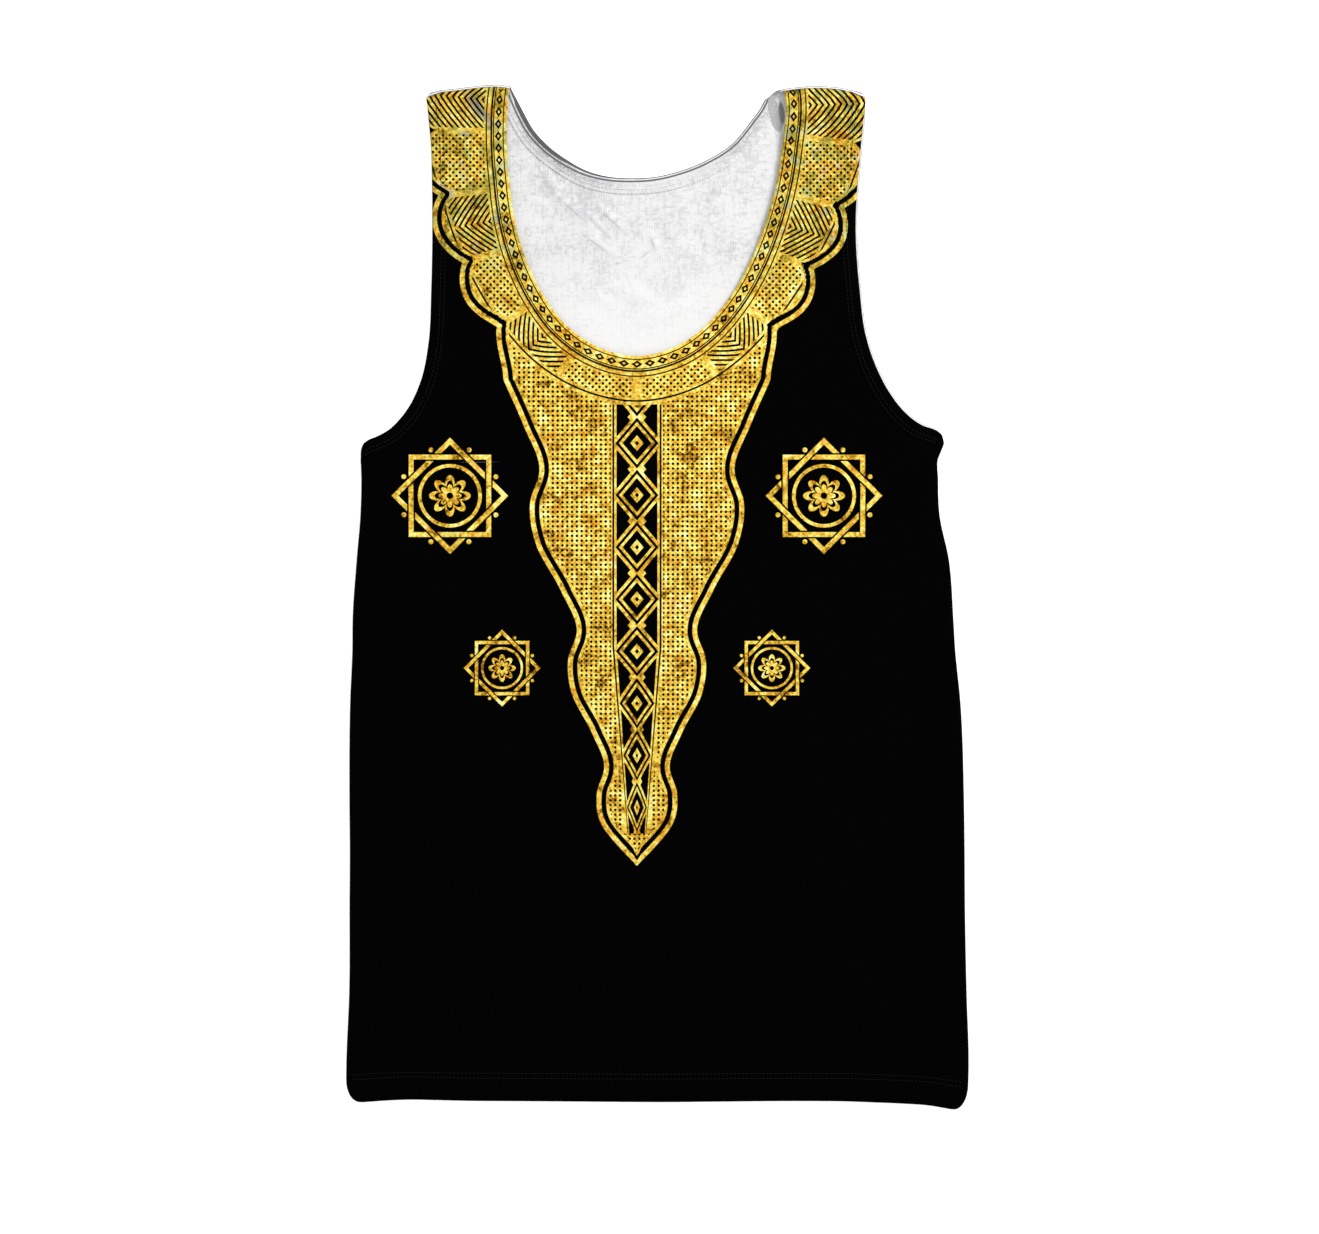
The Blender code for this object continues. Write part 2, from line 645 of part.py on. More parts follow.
def neck_binding(colour):
    """The ring round the neck: front left to right, over the shoulder, and back along the back."""
    ring = Binding("neck_binding")
    seams, edges = {}, {}
    for panel in ("front", "back"):
        for side in ("left", "right"):
            rows = STRAP_ROWS[panel]
            seams[panel, side] = neck_inwards(panel, side, rows, BINDING_WIDTH)
            edges[panel, side] = neck_edge(panel, side, rows)
    ring.add_flat(seams["front", "left"][::-1], edges["front", "left"][::-1], "front")
    ring.add_flat(seams["front", "right"][1:], edges["front", "right"][1:], "front")
    ring.add_roll(
        shoulder_at("right", 0, BINDING_WIDTH), shoulder_at("right", 0, 0.0), (0.0, 1.0), SHOULDER_OVER
    )
    ring.add_flat(seams["back", "right"][::-1], edges["back", "right"][::-1], "back")
    ring.add_flat(seams["back", "left"][1:], edges["back", "left"][1:], "back")
    ring.add_roll(
        shoulder_at("left", 0, BINDING_WIDTH), shoulder_at("left", 0, 0.0), (0.0, 1.0), SHOULDER_OVER[::-1]
    )
    return ring.build(colour, flip=False)


def centre_on_floor(things):
    """Moves every mesh so that the garment's box is centred over the origin and stands on z = 0."""
    points = [np.array([v.co for v in thing.data.vertices]) for thing in things]
    low = np.min([p.min(axis=0) for p in points], axis=0)
    high = np.max([p.max(axis=0) for p in points], axis=0)
    shift = -(low + high) / 2
    shift[2] = -low[2]
    for thing, places in zip(things, points):
        thing.data.vertices.foreach_set("co", (places + shift).ravel())
        thing.data.update()


def main():
    """Builds the tank top."""
    for thing in list(bpy.data.objects):
        bpy.data.objects.remove(thing)
    things = [
        panel_wall("front", BLACK_CLOTH),
        panel_wall("back", WHITE_CLOTH),
        neck_binding(GOLD_CLOTH),
        armhole_binding("left", BLACK_CLOTH),
        armhole_binding("right", BLACK_CLOTH),
    ]
    centre_on_floor(things)


main()
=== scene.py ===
"""A sleeveless scoop-neck knit top, laid flat with its front up: cloth, bindings, sewing and print.

Lengths are in metres. The garment's own tables measure "across" from the centre front line and
"up" from the hem, and left is -X as seen from above. Placement turns them into the frame's x
and y. Heights are above the floor that the garment lies on.
"""

import logging
import math
from collections.abc import Callable, Iterable
from dataclasses import dataclass, field, replace
from enum import Enum
from functools import cached_property
from typing import ClassVar

import bpy
import numpy as np
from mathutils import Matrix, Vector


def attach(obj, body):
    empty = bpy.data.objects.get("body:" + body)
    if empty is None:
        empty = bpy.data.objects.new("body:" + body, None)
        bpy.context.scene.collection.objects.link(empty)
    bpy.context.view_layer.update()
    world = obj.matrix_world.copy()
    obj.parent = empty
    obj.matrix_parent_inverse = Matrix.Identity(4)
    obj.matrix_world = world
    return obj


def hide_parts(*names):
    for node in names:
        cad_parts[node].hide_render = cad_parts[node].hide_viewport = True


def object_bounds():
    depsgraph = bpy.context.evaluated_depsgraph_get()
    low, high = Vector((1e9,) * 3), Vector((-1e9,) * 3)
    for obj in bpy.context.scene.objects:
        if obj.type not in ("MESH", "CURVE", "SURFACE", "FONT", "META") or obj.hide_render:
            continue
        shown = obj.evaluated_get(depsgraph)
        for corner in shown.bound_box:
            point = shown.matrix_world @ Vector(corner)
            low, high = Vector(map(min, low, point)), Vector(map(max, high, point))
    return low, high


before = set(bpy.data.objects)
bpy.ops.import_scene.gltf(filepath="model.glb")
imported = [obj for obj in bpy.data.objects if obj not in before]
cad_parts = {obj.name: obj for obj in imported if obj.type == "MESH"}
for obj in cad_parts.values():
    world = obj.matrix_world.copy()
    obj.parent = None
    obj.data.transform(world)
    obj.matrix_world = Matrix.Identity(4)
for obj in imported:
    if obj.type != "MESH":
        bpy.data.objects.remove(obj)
CAD_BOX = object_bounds()

LOG = logging.getLogger("tank_top")
Array = np.ndarray
BODY = "root"

# The photograph's frame: its size and centre in pixels, and its scale on the cloth.
PIXEL = 0.00075
PICTURE_WIDTH = 1319
PICTURE_CENTRE = (659.5, 617.0)
CENTRE_FRONT_PIXEL = 637.0
HEM_PIXEL = 1100.0

WHITE_LIGHT = (1.0, 1.0, 1.0, 1.0)

# How finely a line is divided where only its length or its end is wanted, and where points are welded.
MEASURE_STEPS = 100
WELD_DIGITS = 6

# The level direction that a shoulder's fold faces.
SHOULDER_WAY = np.array([0.0, 1.0])


class Side(Enum):
    """A side of the garment as seen from above."""

    LEFT = "left"
    RIGHT = "right"

    @property
    def sign(self) -> float:
        """-1 on the left and 1 on the right."""
        return -1.0 if self is Side.LEFT else 1.0


class Face(Enum):
    """Which of the two panels a piece of cloth belongs to."""

    FRONT = "front"
    BACK = "back"

    @property
    def up(self) -> float:
        """The z direction that the panel's outer face looks in."""
        return 1.0 if self is Face.FRONT else -1.0


class Table:
    """Rows of numbers under named columns."""

    def __init__(self, names: str, *rows: tuple[float, ...]) -> None:
        """Keeps the rows under names, the columns' names in one string."""
        self.columns = dict(zip(names.split(), np.array(rows, float).T))

    def __getitem__(self, name: str) -> Array:
        """One column."""
        return self.columns[name]

    def rows(self) -> Iterable[dict[str, float]]:
        """Each row as a dictionary."""
        return (dict(zip(self.columns, row)) for row in zip(*self.columns.values()))

    def line(self, across: str, up: str) -> Array:
        """Two columns as the points of a line."""
        return np.stack([self[across], self[up]], axis=1)


def smooth(at: Array, places: Array, values: Array) -> Array:
    """A cubic through (places, values): each step's ends keep the slopes of the points round them.

    Args:
        at: where the curve is read.
        places: the known places, rising.
        values: the values there.

    Returns:
        The curve's values.
    """
    slopes = np.gradient(values, places)
    i = np.clip(np.searchsorted(places, at, side="right") - 1, 0, len(places) - 2)
    step = places[i + 1] - places[i]
    t = np.clip((at - places[i]) / step, 0.0, 1.0)
    rise = values[i] * (2 * t**3 - 3 * t**2 + 1) + values[i + 1] * (3 * t**2 - 2 * t**3)
    return rise + step * (slopes[i] * (t**3 - 2 * t**2 + t) + slopes[i + 1] * (t**3 - t**2))


def ease(t: Array) -> Array:
    """0 to 1 with level ends: 3 t squared less 2 t cubed."""
    t = np.clip(t, 0.0, 1.0)
    return t * t * (3 - 2 * t)


# How far the print has left a shoulder's roll, by the sine of the angle round it. The same share
# also places the roll's painted grey edge shading and a painted shade line at its crest.
WORN = Table("sine share", (0.0, 0.0), (0.24, 0.20), (0.34, 0.54), (0.62, 0.70), (1.0, 0.95))


def worn(sine: Array | float) -> Array:
    """How far the print has left a shoulder's roll, by the sine of the angle round it; it also places painted
    edge shading.
    """
    return np.interp(sine, WORN["sine"], WORN["share"])


def unit(vectors: Array) -> Array:
    """The vectors at length 1."""
    return vectors / np.maximum(np.linalg.norm(vectors, axis=-1, keepdims=True), 1e-12)


def lengths_along(points: Array) -> Array:
    """The distance along a line at each of its points."""
    return np.concatenate([[0.0], np.cumsum(np.linalg.norm(np.diff(points, axis=0), axis=1))])


def read_along(line: Array, at: Array) -> Array:
    """Points of a line, or of any array with a row for each of its points, at distances along it."""
    along = lengths_along(line)
    return np.stack([np.interp(at, along, line[:, k]) for k in range(line.shape[1])], axis=1)


def resample(points: Array, count: int) -> Array:
    """The line again, as count equal steps."""
    return read_along(points, np.linspace(0.0, lengths_along(points)[-1], count + 1))


def curve_through(points: Array, steps: int = 400) -> Array:
    """A fine smooth line through a few points, with the distance along them as its parameter.

    Args:
        points: the few points, one a row.
        steps: how many steps the line has.

    Returns:
        the line's points.
    """
    along = lengths_along(points)
    at = np.linspace(0.0, along[-1], steps + 1)
    return np.stack([smooth(at, along, points[:, k]) for k in range(2)], axis=1)


def turned(line: Array, sign: float) -> Array:
    """Unit vectors square to a line, on its left for a sign of 1 and on its right for -1."""
    ahead = unit(np.gradient(line, axis=0))
    return sign * np.stack([-ahead[:, 1], ahead[:, 0]], axis=1)


def nearest_on(points: Array, line: Array) -> tuple[Array, Array]:
    """How far points lie from a line, by the nearest point of its nearest segment.

    Args:
        points: places in the plane, one a row.
        line: the line's points.

    Returns:
        The distances, and how far along the line the nearest points lie.
    """
    best = np.full(len(points), np.inf)
    where = np.zeros(len(points))
    for start, step, run in zip(line[:-1], np.diff(line, axis=0), lengths_along(line)):
        length = math.hypot(*step)
        t = np.clip((points - start) @ step / length**2, 0.0, 1.0)
        away = np.hypot(*(points - start - t[:, None] * step).T)
        nearer = away < best
        best = np.where(nearer, away, best)
        where = np.where(nearer, run + t * length, where)
    return best, where


@dataclass(frozen=True)
class Outline:
    """Where the garment's edges and folds run, seen from above."""

    binding_width: float = 0.0110
    roll: float = 0.0030
    corner_across: float = 0.0102
    corner_up: float = 0.0170
    hem_line_reach: float = 0.0900
    back_armhole_out: tuple[float, float] = (0.0005, 0.0015)
    back_armhole_fade: float = 0.0200
    underarm_turn: float = 0.0450
    shoulder_corner: float = 0.0020
    guide_steps: int = 60
    area_steps: int = 40
    strap_steps: int = 80
    fine_steps: int = 1600

    # Necklines, from the shoulder down to the lowest point; rise is how far up the right half is.
    NECKLINES: ClassVar[dict[Face, Table]] = {
        Face.FRONT: Table(
            "up left rise right",
            (0.7590, -0.0955, 0.7590, 0.1106), (0.7500, -0.0966, 0.7500, 0.1113),
            (0.7200, -0.0975, 0.7200, 0.1088), (0.6900, -0.0955, 0.6900, 0.1043),
            (0.6600, -0.0915, 0.6600, 0.0963), (0.6300, -0.0828, 0.6300, 0.0848),
            (0.6030, -0.0698, 0.6030, 0.0698), (0.5805, -0.0525, 0.5805, 0.0510),
            (0.5663, -0.0330, 0.5663, 0.0320), (0.5576, 0.0000, 0.5576, 0.0000),
        ),
        Face.BACK: Table(
            "up left rise right",
            (0.7565, -0.0935, 0.7508, 0.0960), (0.7500, -0.0900, 0.7434, 0.0922),
            (0.7400, -0.0848, 0.7358, 0.0866), (0.7280, -0.0780, 0.7280, 0.0808),
            (0.7160, -0.0672, 0.7180, 0.0722), (0.7050, -0.0526, 0.7042, 0.0510),
            (0.6966, -0.0372, 0.6960, 0.0300), (0.6924, -0.0215, 0.6922, 0.0135),
            (0.6912, -0.0040, 0.6912, -0.0040),
        ),
    }

    # Side folds, from the hem to the foot of the armhole binding.
    SIDES: ClassVar[Table] = Table(
        "up left right",
        (0.000, -0.2180, 0.2474), (0.030, -0.2177, 0.2485), (0.080, -0.2156, 0.2470),
        (0.150, -0.2153, 0.2457), (0.185, -0.2151, 0.2455), (0.225, -0.2154, 0.2450),
        (0.300, -0.2148, 0.2422), (0.338, -0.2132, 0.2384), (0.360, -0.2130, 0.2371),
        (0.405, -0.2100, 0.2337), (0.440, -0.2071, 0.2265), (0.465, -0.2065, 0.2256),
        (0.482, -0.2069, 0.2258), (0.492, -0.2066, 0.2303),
    )

    # The hem's rise (+) and drop (-) across the garment.
    HEM_LINE: ClassVar[Table] = Table(
        "across rise",
        (-0.2180, -0.0012), (-0.2080, -0.0009), (-0.1880, 0.0004), (-0.1700, 0.0010), (-0.1490, 0.0006),
        (-0.1250, 0.0001), (-0.0800, -0.0002), (0.0200, -0.0008), (0.1300, -0.0001), (0.1600, -0.0004),
        (0.1810, -0.0012), (0.2030, -0.0022), (0.2170, -0.0031), (0.2245, -0.0041), (0.2315, -0.0054),
        (0.2380, -0.0065), (0.2500, -0.0070),
    )

    # Armhole edges, from the underarm tip up to the shoulder.
    ARMHOLES: ClassVar[dict[Side, Table]] = {
        Side.LEFT: Table(
            "across up",
            (-0.2066, 0.4883), (-0.2050, 0.4915), (-0.2015, 0.4945), (-0.1946, 0.4974), (-0.1860, 0.5021),
            (-0.1771, 0.5107), (-0.1722, 0.5170), (-0.1613, 0.5400), (-0.1560, 0.5663), (-0.1538, 0.6075),
            (-0.1530, 0.6500), (-0.1532, 0.6850), (-0.1543, 0.7180), (-0.1562, 0.7360), (-0.1576, 0.7480),
        ),
        Side.RIGHT: Table(
            "across up",
            (0.2303, 0.4928), (0.2290, 0.4976), (0.2240, 0.5018), (0.2132, 0.5059), (0.1991, 0.5171),
            (0.1903, 0.5284), (0.1785, 0.5509), (0.1712, 0.5734), (0.1667, 0.6071), (0.1637, 0.6521),
            (0.1667, 0.7050), (0.1694, 0.7320), (0.1707, 0.7430), (0.1713, 0.7490),
        ),
    }

    # Shoulder folds, each from one end of the strap to the other.
    SHOULDERS: ClassVar[dict[Side, Table]] = {
        Side.LEFT: Table(
            "across up",
            (-0.1600, 0.7502), (-0.1555, 0.7546), (-0.1515, 0.7562), (-0.1460, 0.7569), (-0.1350, 0.7582),
            (-0.1000, 0.7605), (-0.0880, 0.7585),
        ),
        Side.RIGHT: Table(
            "across up",
            (0.0980, 0.7535), (0.1035, 0.7560), (0.1125, 0.7580), (0.1335, 0.7600), (0.1440, 0.7596),
            (0.1535, 0.7586), (0.1592, 0.7572), (0.1655, 0.7562), (0.1688, 0.7550), (0.1710, 0.7529),
            (0.1720, 0.7508),
        ),
    }

    def side_fold(self, up: Array, side: Side) -> Array:
        """How far across a side's fold lies, drawn in by a quarter of an ellipse at the hem's corner.

        Args:
            up: how far up it is read.
            side: which side.

        Returns:
            how far across it lies at each.
        """
        across = smooth(up, self.SIDES["up"], self.SIDES[side.value])
        below = np.clip(1 - up / self.corner_up, 0.0, 1.0)
        return across - side.sign * self.corner_across * (1 - np.sqrt(1 - below**2))

    def shoulder_fold(self, across: Array, side: Side) -> Array:
        """How far up a shoulder's fold lies."""
        return smooth(across, self.SHOULDERS[side]["across"], self.SHOULDERS[side]["up"])

    def hem_rise(self, points: Array) -> Array:
        """The hem line's own rise, fading up the garment."""
        rise = smooth(points[..., 0], self.HEM_LINE["across"], self.HEM_LINE["rise"])
        return rise * (1 - ease(points[..., 1] / self.hem_line_reach))

    def up_to_roll(self, line: Array, side: Side) -> Array:
        """An edge line stretched up so that it ends where the shoulder's roll begins.

        Args:
            line: the edge, from its foot to its top.
            side: which side.

        Returns:
            the stretched line.
        """
        foot, top = line[0, 1], self.shoulder_fold(line[-1, 0], side) - self.roll
        up = foot + (line[:, 1] - foot) * (top - foot) / (line[-1, 1] - foot)
        return np.stack([line[:, 0], up], axis=1)

    def neck_edge(self, face: Face, side: Side, count: int) -> Array:
        """The finished neckline of one half, from its lowest point up to the shoulder's roll.

        Args:
            face: which panel.
            side: which side.
            count: how many steps it has.

        Returns:
            its points.
        """
        rows = self.NECKLINES[face]
        whole = curve_through(np.concatenate([rows.line("left", "up"), rows.line("right", "rise")[-2::-1]]))
        lowest = int(np.argmin(whole[:, 1]))
        line = whole[lowest::-1] if side is Side.LEFT else whole[lowest:]
        return resample(self.up_to_roll(line, side), count)

    def armhole_edge(self, face: Face, side: Side, count: int) -> Array:
        """The finished armhole edge, from the underarm tip up to the shoulder's roll. The back's stands
        out a little, fading at both ends.

        Args:
            face: which panel.
            side: which side.
            count: how many steps it has.

        Returns:
            its points.
        """
        line = curve_through(self.ARMHOLES[side].line("across", "up"))
        if face is Face.BACK:
            along = lengths_along(line)
            fade = ease(along / self.back_armhole_fade)
            fade = fade * ease((along[-1] - along) / self.back_armhole_fade)
            out = self.back_armhole_out[side is Side.RIGHT]
            line = line + out * fade[:, None] * turned(line, -side.sign)
        return resample(self.up_to_roll(line, side), count)

    def neck_inwards(self, face: Face, side: Side, count: int, width: float) -> Array:
        """The neckline moved into the cloth by a width.

        Args:
            face: which panel.
            side: which side.
            count: how many steps it has.
            width: how far in.

        Returns:
            its points.
        """
        line = self.neck_edge(face, side, count)
        ways = turned(line, -side.sign)
        ways[0] = (0.0, -1.0)
        moved = line + width * ways
        moved[-1, 1] = line[-1, 1]
        return moved

    def armhole_inwards(self, face: Face, side: Side, count: int, width: float) -> Array:
        """The armhole edge moved into the cloth by a width. At the underarm it runs down the side fold.

        Args:
            face: which panel.
            side: which side.
            count: how many steps it has.
            width: how far in.

        Returns:
            its points.
        """
        line = self.armhole_edge(face, side, count)
        share = ease(lengths_along(line) / self.underarm_turn)[:, None]
        way = unit(share * turned(line, side.sign) + (1 - share) * np.array([[0.0, -1.0]]))
        moved = line + width * way
        moved[0, 0] = self.side_fold(moved[0, 1], side)
        moved[-1, 1] = line[-1, 1]
        return moved

    def armhole_past_roll(self, face: Face, side: Side, shares: Array, width: float) -> Array:
        """Points of the armhole edge moved in by a width, by their shares of its length from where it
        has left the side roll.

        Args:
            face: which panel.
            side: which side.
            shares: the points' places, from 0 at the roll to 1 at the shoulder.
            width: how far in.

        Returns:
            the points (across, up).
        """
        line = self.armhole_inwards(face, side, self.fine_steps, width)
        first = int(np.argmax(side.sign * line[:, 0] < side.sign * line[0, 0] - self.roll))
        return line[np.round(first + shares * (self.fine_steps - first)).astype(int)]

    def strap_ends(self, side: Side, angle: float, face: Face, width: float) -> tuple[float, float]:
        """How far across a strap's neck and armhole ends lie on the shoulder roll, at a width in.

        The ends drift from the front's places to the back's with the angle round the roll, and the
        outer corner is drawn in by the cube of its sine.

        Args:
            side: which side.
            angle: how far round the roll, from 0 at the panel's own side.
            face: which panel.
            width: how far in from the finished edge.

        Returns:
            the neck end and the armhole end.
        """
        share = (angle if face is Face.FRONT else math.pi - angle) / math.pi
        ends = [
            (1 - share) * line(Face.FRONT, side, self.strap_steps, width)[-1, 0]
            + share * line(Face.BACK, side, self.strap_steps, width)[-1, 0]
            for line in (self.neck_inwards, self.armhole_inwards)
        ]
        drawn_in = self.shoulder_corner * math.sin(angle) ** 2 * abs(math.sin(angle))
        ends[1] -= side.sign * drawn_in * max(1 - width / self.binding_width, 0.0)
        return ends[0], ends[1]

    @cached_property
    def rolled_lines(self) -> list[Array]:
        """The side and shoulder folds, as lines.

        Returns:
            the lines' points.
        """
        found = []
        for side in Side:
            up = np.linspace(0.0, self.ARMHOLES[side]["up"][0], self.guide_steps)
            found.append(np.stack([self.side_fold(up, side), up], axis=1))
            ends = self.SHOULDERS[side]["across"]
            across = np.linspace(ends[0], ends[-1], self.guide_steps)
            found.append(np.stack([across, self.shoulder_fold(across, side)], axis=1))
        return found

    @cached_property
    def free_lines(self) -> list[Array]:
        """The edges of the front that are not joined to the back.

        Returns:
            the lines' points.
        """
        hem = [[self.SIDES["left"][0], 0.0], [self.SIDES["right"][0], 0.0]]
        edges = [self.neck_edge(Face.FRONT, side, self.guide_steps) for side in Side]
        edges += [self.armhole_edge(Face.FRONT, side, self.guide_steps) for side in Side]
        return [np.array(hem), *edges]

    def whole_neckline(self, face: Face, count: int) -> Array:
        """The neckline from the left shoulder round to the right one."""
        left, right = (self.neck_edge(face, side, count) for side in Side)
        return np.concatenate([left[::-1], right[1:]])

    def flat_area(self, face: Face) -> float:
        """The area of a panel's cut as it lies, by the shoelace sum round its outline.

        Args:
            face: which panel.

        Returns:
            square metres.
        """
        halves = []
        for side in Side:
            ups = np.linspace(0.0, self.ARMHOLES[side]["up"][0], self.area_steps)
            fold = np.stack([self.side_fold(ups, side), ups], axis=1)
            arm = self.armhole_edge(face, side, self.guide_steps)
            halves.append(np.concatenate([fold, arm, self.neck_edge(face, side, self.guide_steps)[::-1]]))
        x, y = np.concatenate([halves[0], halves[1][::-1]]).T
        return abs(float(x @ np.roll(y, -1) - y @ np.roll(x, -1))) / 2


@dataclass(frozen=True)
class Placement:
    """Where the garment's own across and up lie in the frame."""

    outline: Outline
    steps: int = 2000
    reach: float = 0.2

    @cached_property
    def shift(self) -> Array:
        """What takes (across, up) to (x, y): it puts the outline's box in the middle of the CAD's.

        Returns:
            the shift in x and y.
        """
        ups = np.linspace(0.0, self.outline.SIDES["up"][-1], self.steps)
        over = np.linspace(-self.reach, self.reach, self.steps)
        left, right = (self.outline.side_fold(ups, side) for side in Side)
        corner = np.stack([right, ups], axis=1)
        low = np.array([left.min(), (ups + self.outline.hem_rise(corner)).min()])
        tops = [self.outline.shoulder_fold(over, side).max() for side in Side]
        middle = (low + np.array([right.max(), max(tops)])) / 2
        return (np.array(CAD_BOX[0])[:2] + np.array(CAD_BOX[1])[:2]) / 2 - middle

    def place(self, points: Array) -> Array:
        """Points (across, up, height) in the frame."""
        return points + np.array([*self.shift, 0.0])


@dataclass(frozen=True)
class Lie:
    """How high the cloth lies above the floor."""

    outline: Outline
    body_level: float = 0.0034
    edge_level: float = 0.0046
    fold_level: float = 0.0060
    fold_reach: float = 0.0300
    edge_reach: float = 0.0400
    fold_clear: float = 0.0150
    bend: float = 0.25
    edge_inset: float = 0.0003
    hem_depth: float = 0.0190
    hem_ease: float = 0.0016
    hem_proud: float = 0.0004
    seam_dip: float = 0.0004
    seam_up: float = 0.0006
    seam_half: float = 0.0011
    ripple: float = 0.00022

    # Soft ridges of the front: middle, direction in degrees, half length, half width and height.
    FOLDS: ClassVar[Table] = Table(
        "across up turn long wide high",
        (-0.150, 0.440, -40, 0.080, 0.013, 0.0024), (-0.165, 0.395, -58, 0.065, 0.012, 0.0015),
        (0.165, 0.450, 222, 0.085, 0.013, 0.0030), (0.185, 0.400, 240, 0.070, 0.014, 0.0019),
        (-0.115, 0.220, 84, 0.150, 0.018, 0.0022), (0.130, 0.200, 97, 0.165, 0.020, 0.0026),
        (0.040, 0.130, 88, 0.110, 0.022, 0.0016), (-0.045, 0.330, 70, 0.100, 0.020, 0.0014),
        (0.175, 0.070, 140, 0.075, 0.015, 0.0026), (-0.170, 0.065, 48, 0.060, 0.014, 0.0019),
        (0.060, 0.380, 112, 0.090, 0.018, 0.0015), (-0.128, 0.660, 78, 0.055, 0.009, 0.0012),
        (0.140, 0.640, 100, 0.060, 0.009, 0.0013),
    )

    # Fine creases of the front, laid over the ridges; a negative height is a trough.
    CREASES: ClassVar[Table] = Table(
        "across up turn long wide high",
        (-0.172, 0.462, -36, 0.046, 0.0050, 0.0008), (-0.140, 0.418, -47, 0.060, 0.0060, -0.0007),
        (-0.120, 0.462, -30, 0.040, 0.0050, 0.0005), (0.190, 0.470, 218, 0.050, 0.0050, 0.0009),
        (0.150, 0.425, 229, 0.058, 0.0062, -0.0007), (0.128, 0.478, 205, 0.036, 0.0050, 0.0005),
        (-0.180, 0.300, 86, 0.090, 0.0080, -0.0006), (0.205, 0.290, 95, 0.105, 0.0080, -0.0006),
        (-0.070, 0.105, 98, 0.075, 0.0070, -0.0006), (0.095, 0.110, 82, 0.060, 0.0070, -0.0005),
        (0.012, 0.075, 93, 0.048, 0.0060, 0.0005), (-0.127, 0.700, 62, 0.034, 0.0042, 0.0006),
        (-0.140, 0.590, 96, 0.050, 0.0048, -0.0005), (0.150, 0.590, 82, 0.052, 0.0050, -0.0005),
        (0.138, 0.705, 112, 0.036, 0.0044, 0.0006), (-0.112, 0.738, 145, 0.016, 0.0034, 0.0007),
        (0.213, 0.130, 100, 0.060, 0.0062, 0.0005), (-0.196, 0.160, 84, 0.055, 0.0060, 0.0005),
    )

    # Creases of the back's bare inside, in the scoop of the neck.
    SCOOP_CREASES: ClassVar[Table] = Table(
        "across up turn long wide high",
        (-0.018, 0.660, -41, 0.022, 0.0030, 0.0008), (-0.028, 0.642, -36, 0.024, 0.0029, 0.0007),
        (-0.047, 0.668, -43, 0.030, 0.0032, 0.0007), (-0.036, 0.656, -44, 0.040, 0.0070, 0.0004),
        (0.013, 0.642, -68, 0.014, 0.0024, 0.0007), (0.040, 0.636, -38, 0.030, 0.0052, 0.0005),
        (0.058, 0.672, 62, 0.026, 0.0046, 0.0007), (-0.066, 0.690, -62, 0.024, 0.0040, 0.0008),
        (-0.004, 0.604, -18, 0.034, 0.0056, 0.0006), (0.026, 0.590, 22, 0.028, 0.0050, 0.0005),
        (-0.028, 0.602, -30, 0.022, 0.0042, 0.0005), (0.074, 0.640, 74, 0.024, 0.0044, 0.0005),
        (-0.078, 0.652, 82, 0.026, 0.0040, 0.0005),
    )

    def ridges(self, points: Array, rows: Table) -> Array:
        """The sum of some soft folds: across each a bell curve bent a little along its length, and
        along it the square of one less the square of the share of its half length.

        Args:
            points: places (across, up).
            rows: a row for each fold.

        Returns:
            the height at each point.
        """
        total = np.zeros(len(points))
        for fold in rows.rows():
            turn = math.radians(fold["turn"])
            dx, dy = points[:, 0] - fold["across"], points[:, 1] - fold["up"]
            along = (dx * math.cos(turn) + dy * math.sin(turn)) / fold["long"]
            aside = (dy * math.cos(turn) - dx * math.sin(turn)) / fold["wide"] - self.bend * along**2
            total += fold["high"] * np.exp(-(aside**2)) * np.clip(1 - along**2, 0.0, 1.0) ** 2
        return total

    def to_lines(self, points: Array, lines: list[Array]) -> Array:
        """How far points lie from the nearest of some lines."""
        return np.min([nearest_on(points, line)[0] for line in lines], axis=0)

    def front(self, points: Array) -> Array:
        """Heights of the front's outer face: the body's level, raised to the fold's level by a bell
        curve near the rolls and to the edge's level near the free edges, with folds and creases.

        Args:
            points: places (across, up).

        Returns:
            the height at each point.
        """
        to_roll = np.maximum(self.to_lines(points, self.outline.rolled_lines) - self.outline.roll, 0.0)
        puff = (self.fold_level - self.body_level) * np.exp(-((to_roll / self.fold_reach) ** 2))
        to_edge = self.to_lines(points, self.outline.free_lines)
        inner = self.outline.binding_width + self.edge_inset
        lift = (self.edge_level - self.body_level) * (1 - ease((to_edge - inner) / self.edge_reach))
        clear = ease(to_roll / self.fold_clear)
        folds = self.ridges(points, self.FOLDS) + self.ridges(points, self.CREASES)
        folds += self.ripple * self.drift(points)
        sheet = self.body_level + np.hypot(puff, lift * (1 - puff / self.fold_level)) + folds * clear
        return sheet + self.hem_swell(points[:, 1]) * clear

    def drift(self, points: Array) -> Array:
        """A slow unevenness: the product of two slanting sines of unlike lengths, and a third.

        Args:
            points: places (across, up).

        Returns:
            the unevenness at each point.
        """
        x, y = points.T
        broad = np.sin(61 * x + 23 * y + 0.7) * np.sin(-19 * x + 47 * y + 1.9)
        return broad + 0.6 * np.sin(97 * x - 71 * y + 0.4) * np.sin(31 * x + 88 * y)

    def hem_swell(self, up: Array) -> Array:
        """The doubled hem stands a little proud, with a groove along its sewing."""
        proud = self.hem_proud * (1 - ease((up - self.hem_depth) / self.hem_ease))
        return proud - self.seam_dip * np.exp(-(((up - self.hem_depth - self.seam_up) / self.seam_half) ** 2))

    def back(self, points: Array) -> Array:
        """How far the back is lifted off the floor, by creases in the scoop alone."""
        return np.maximum(self.ridges(points, self.SCOOP_CREASES), 0.0)

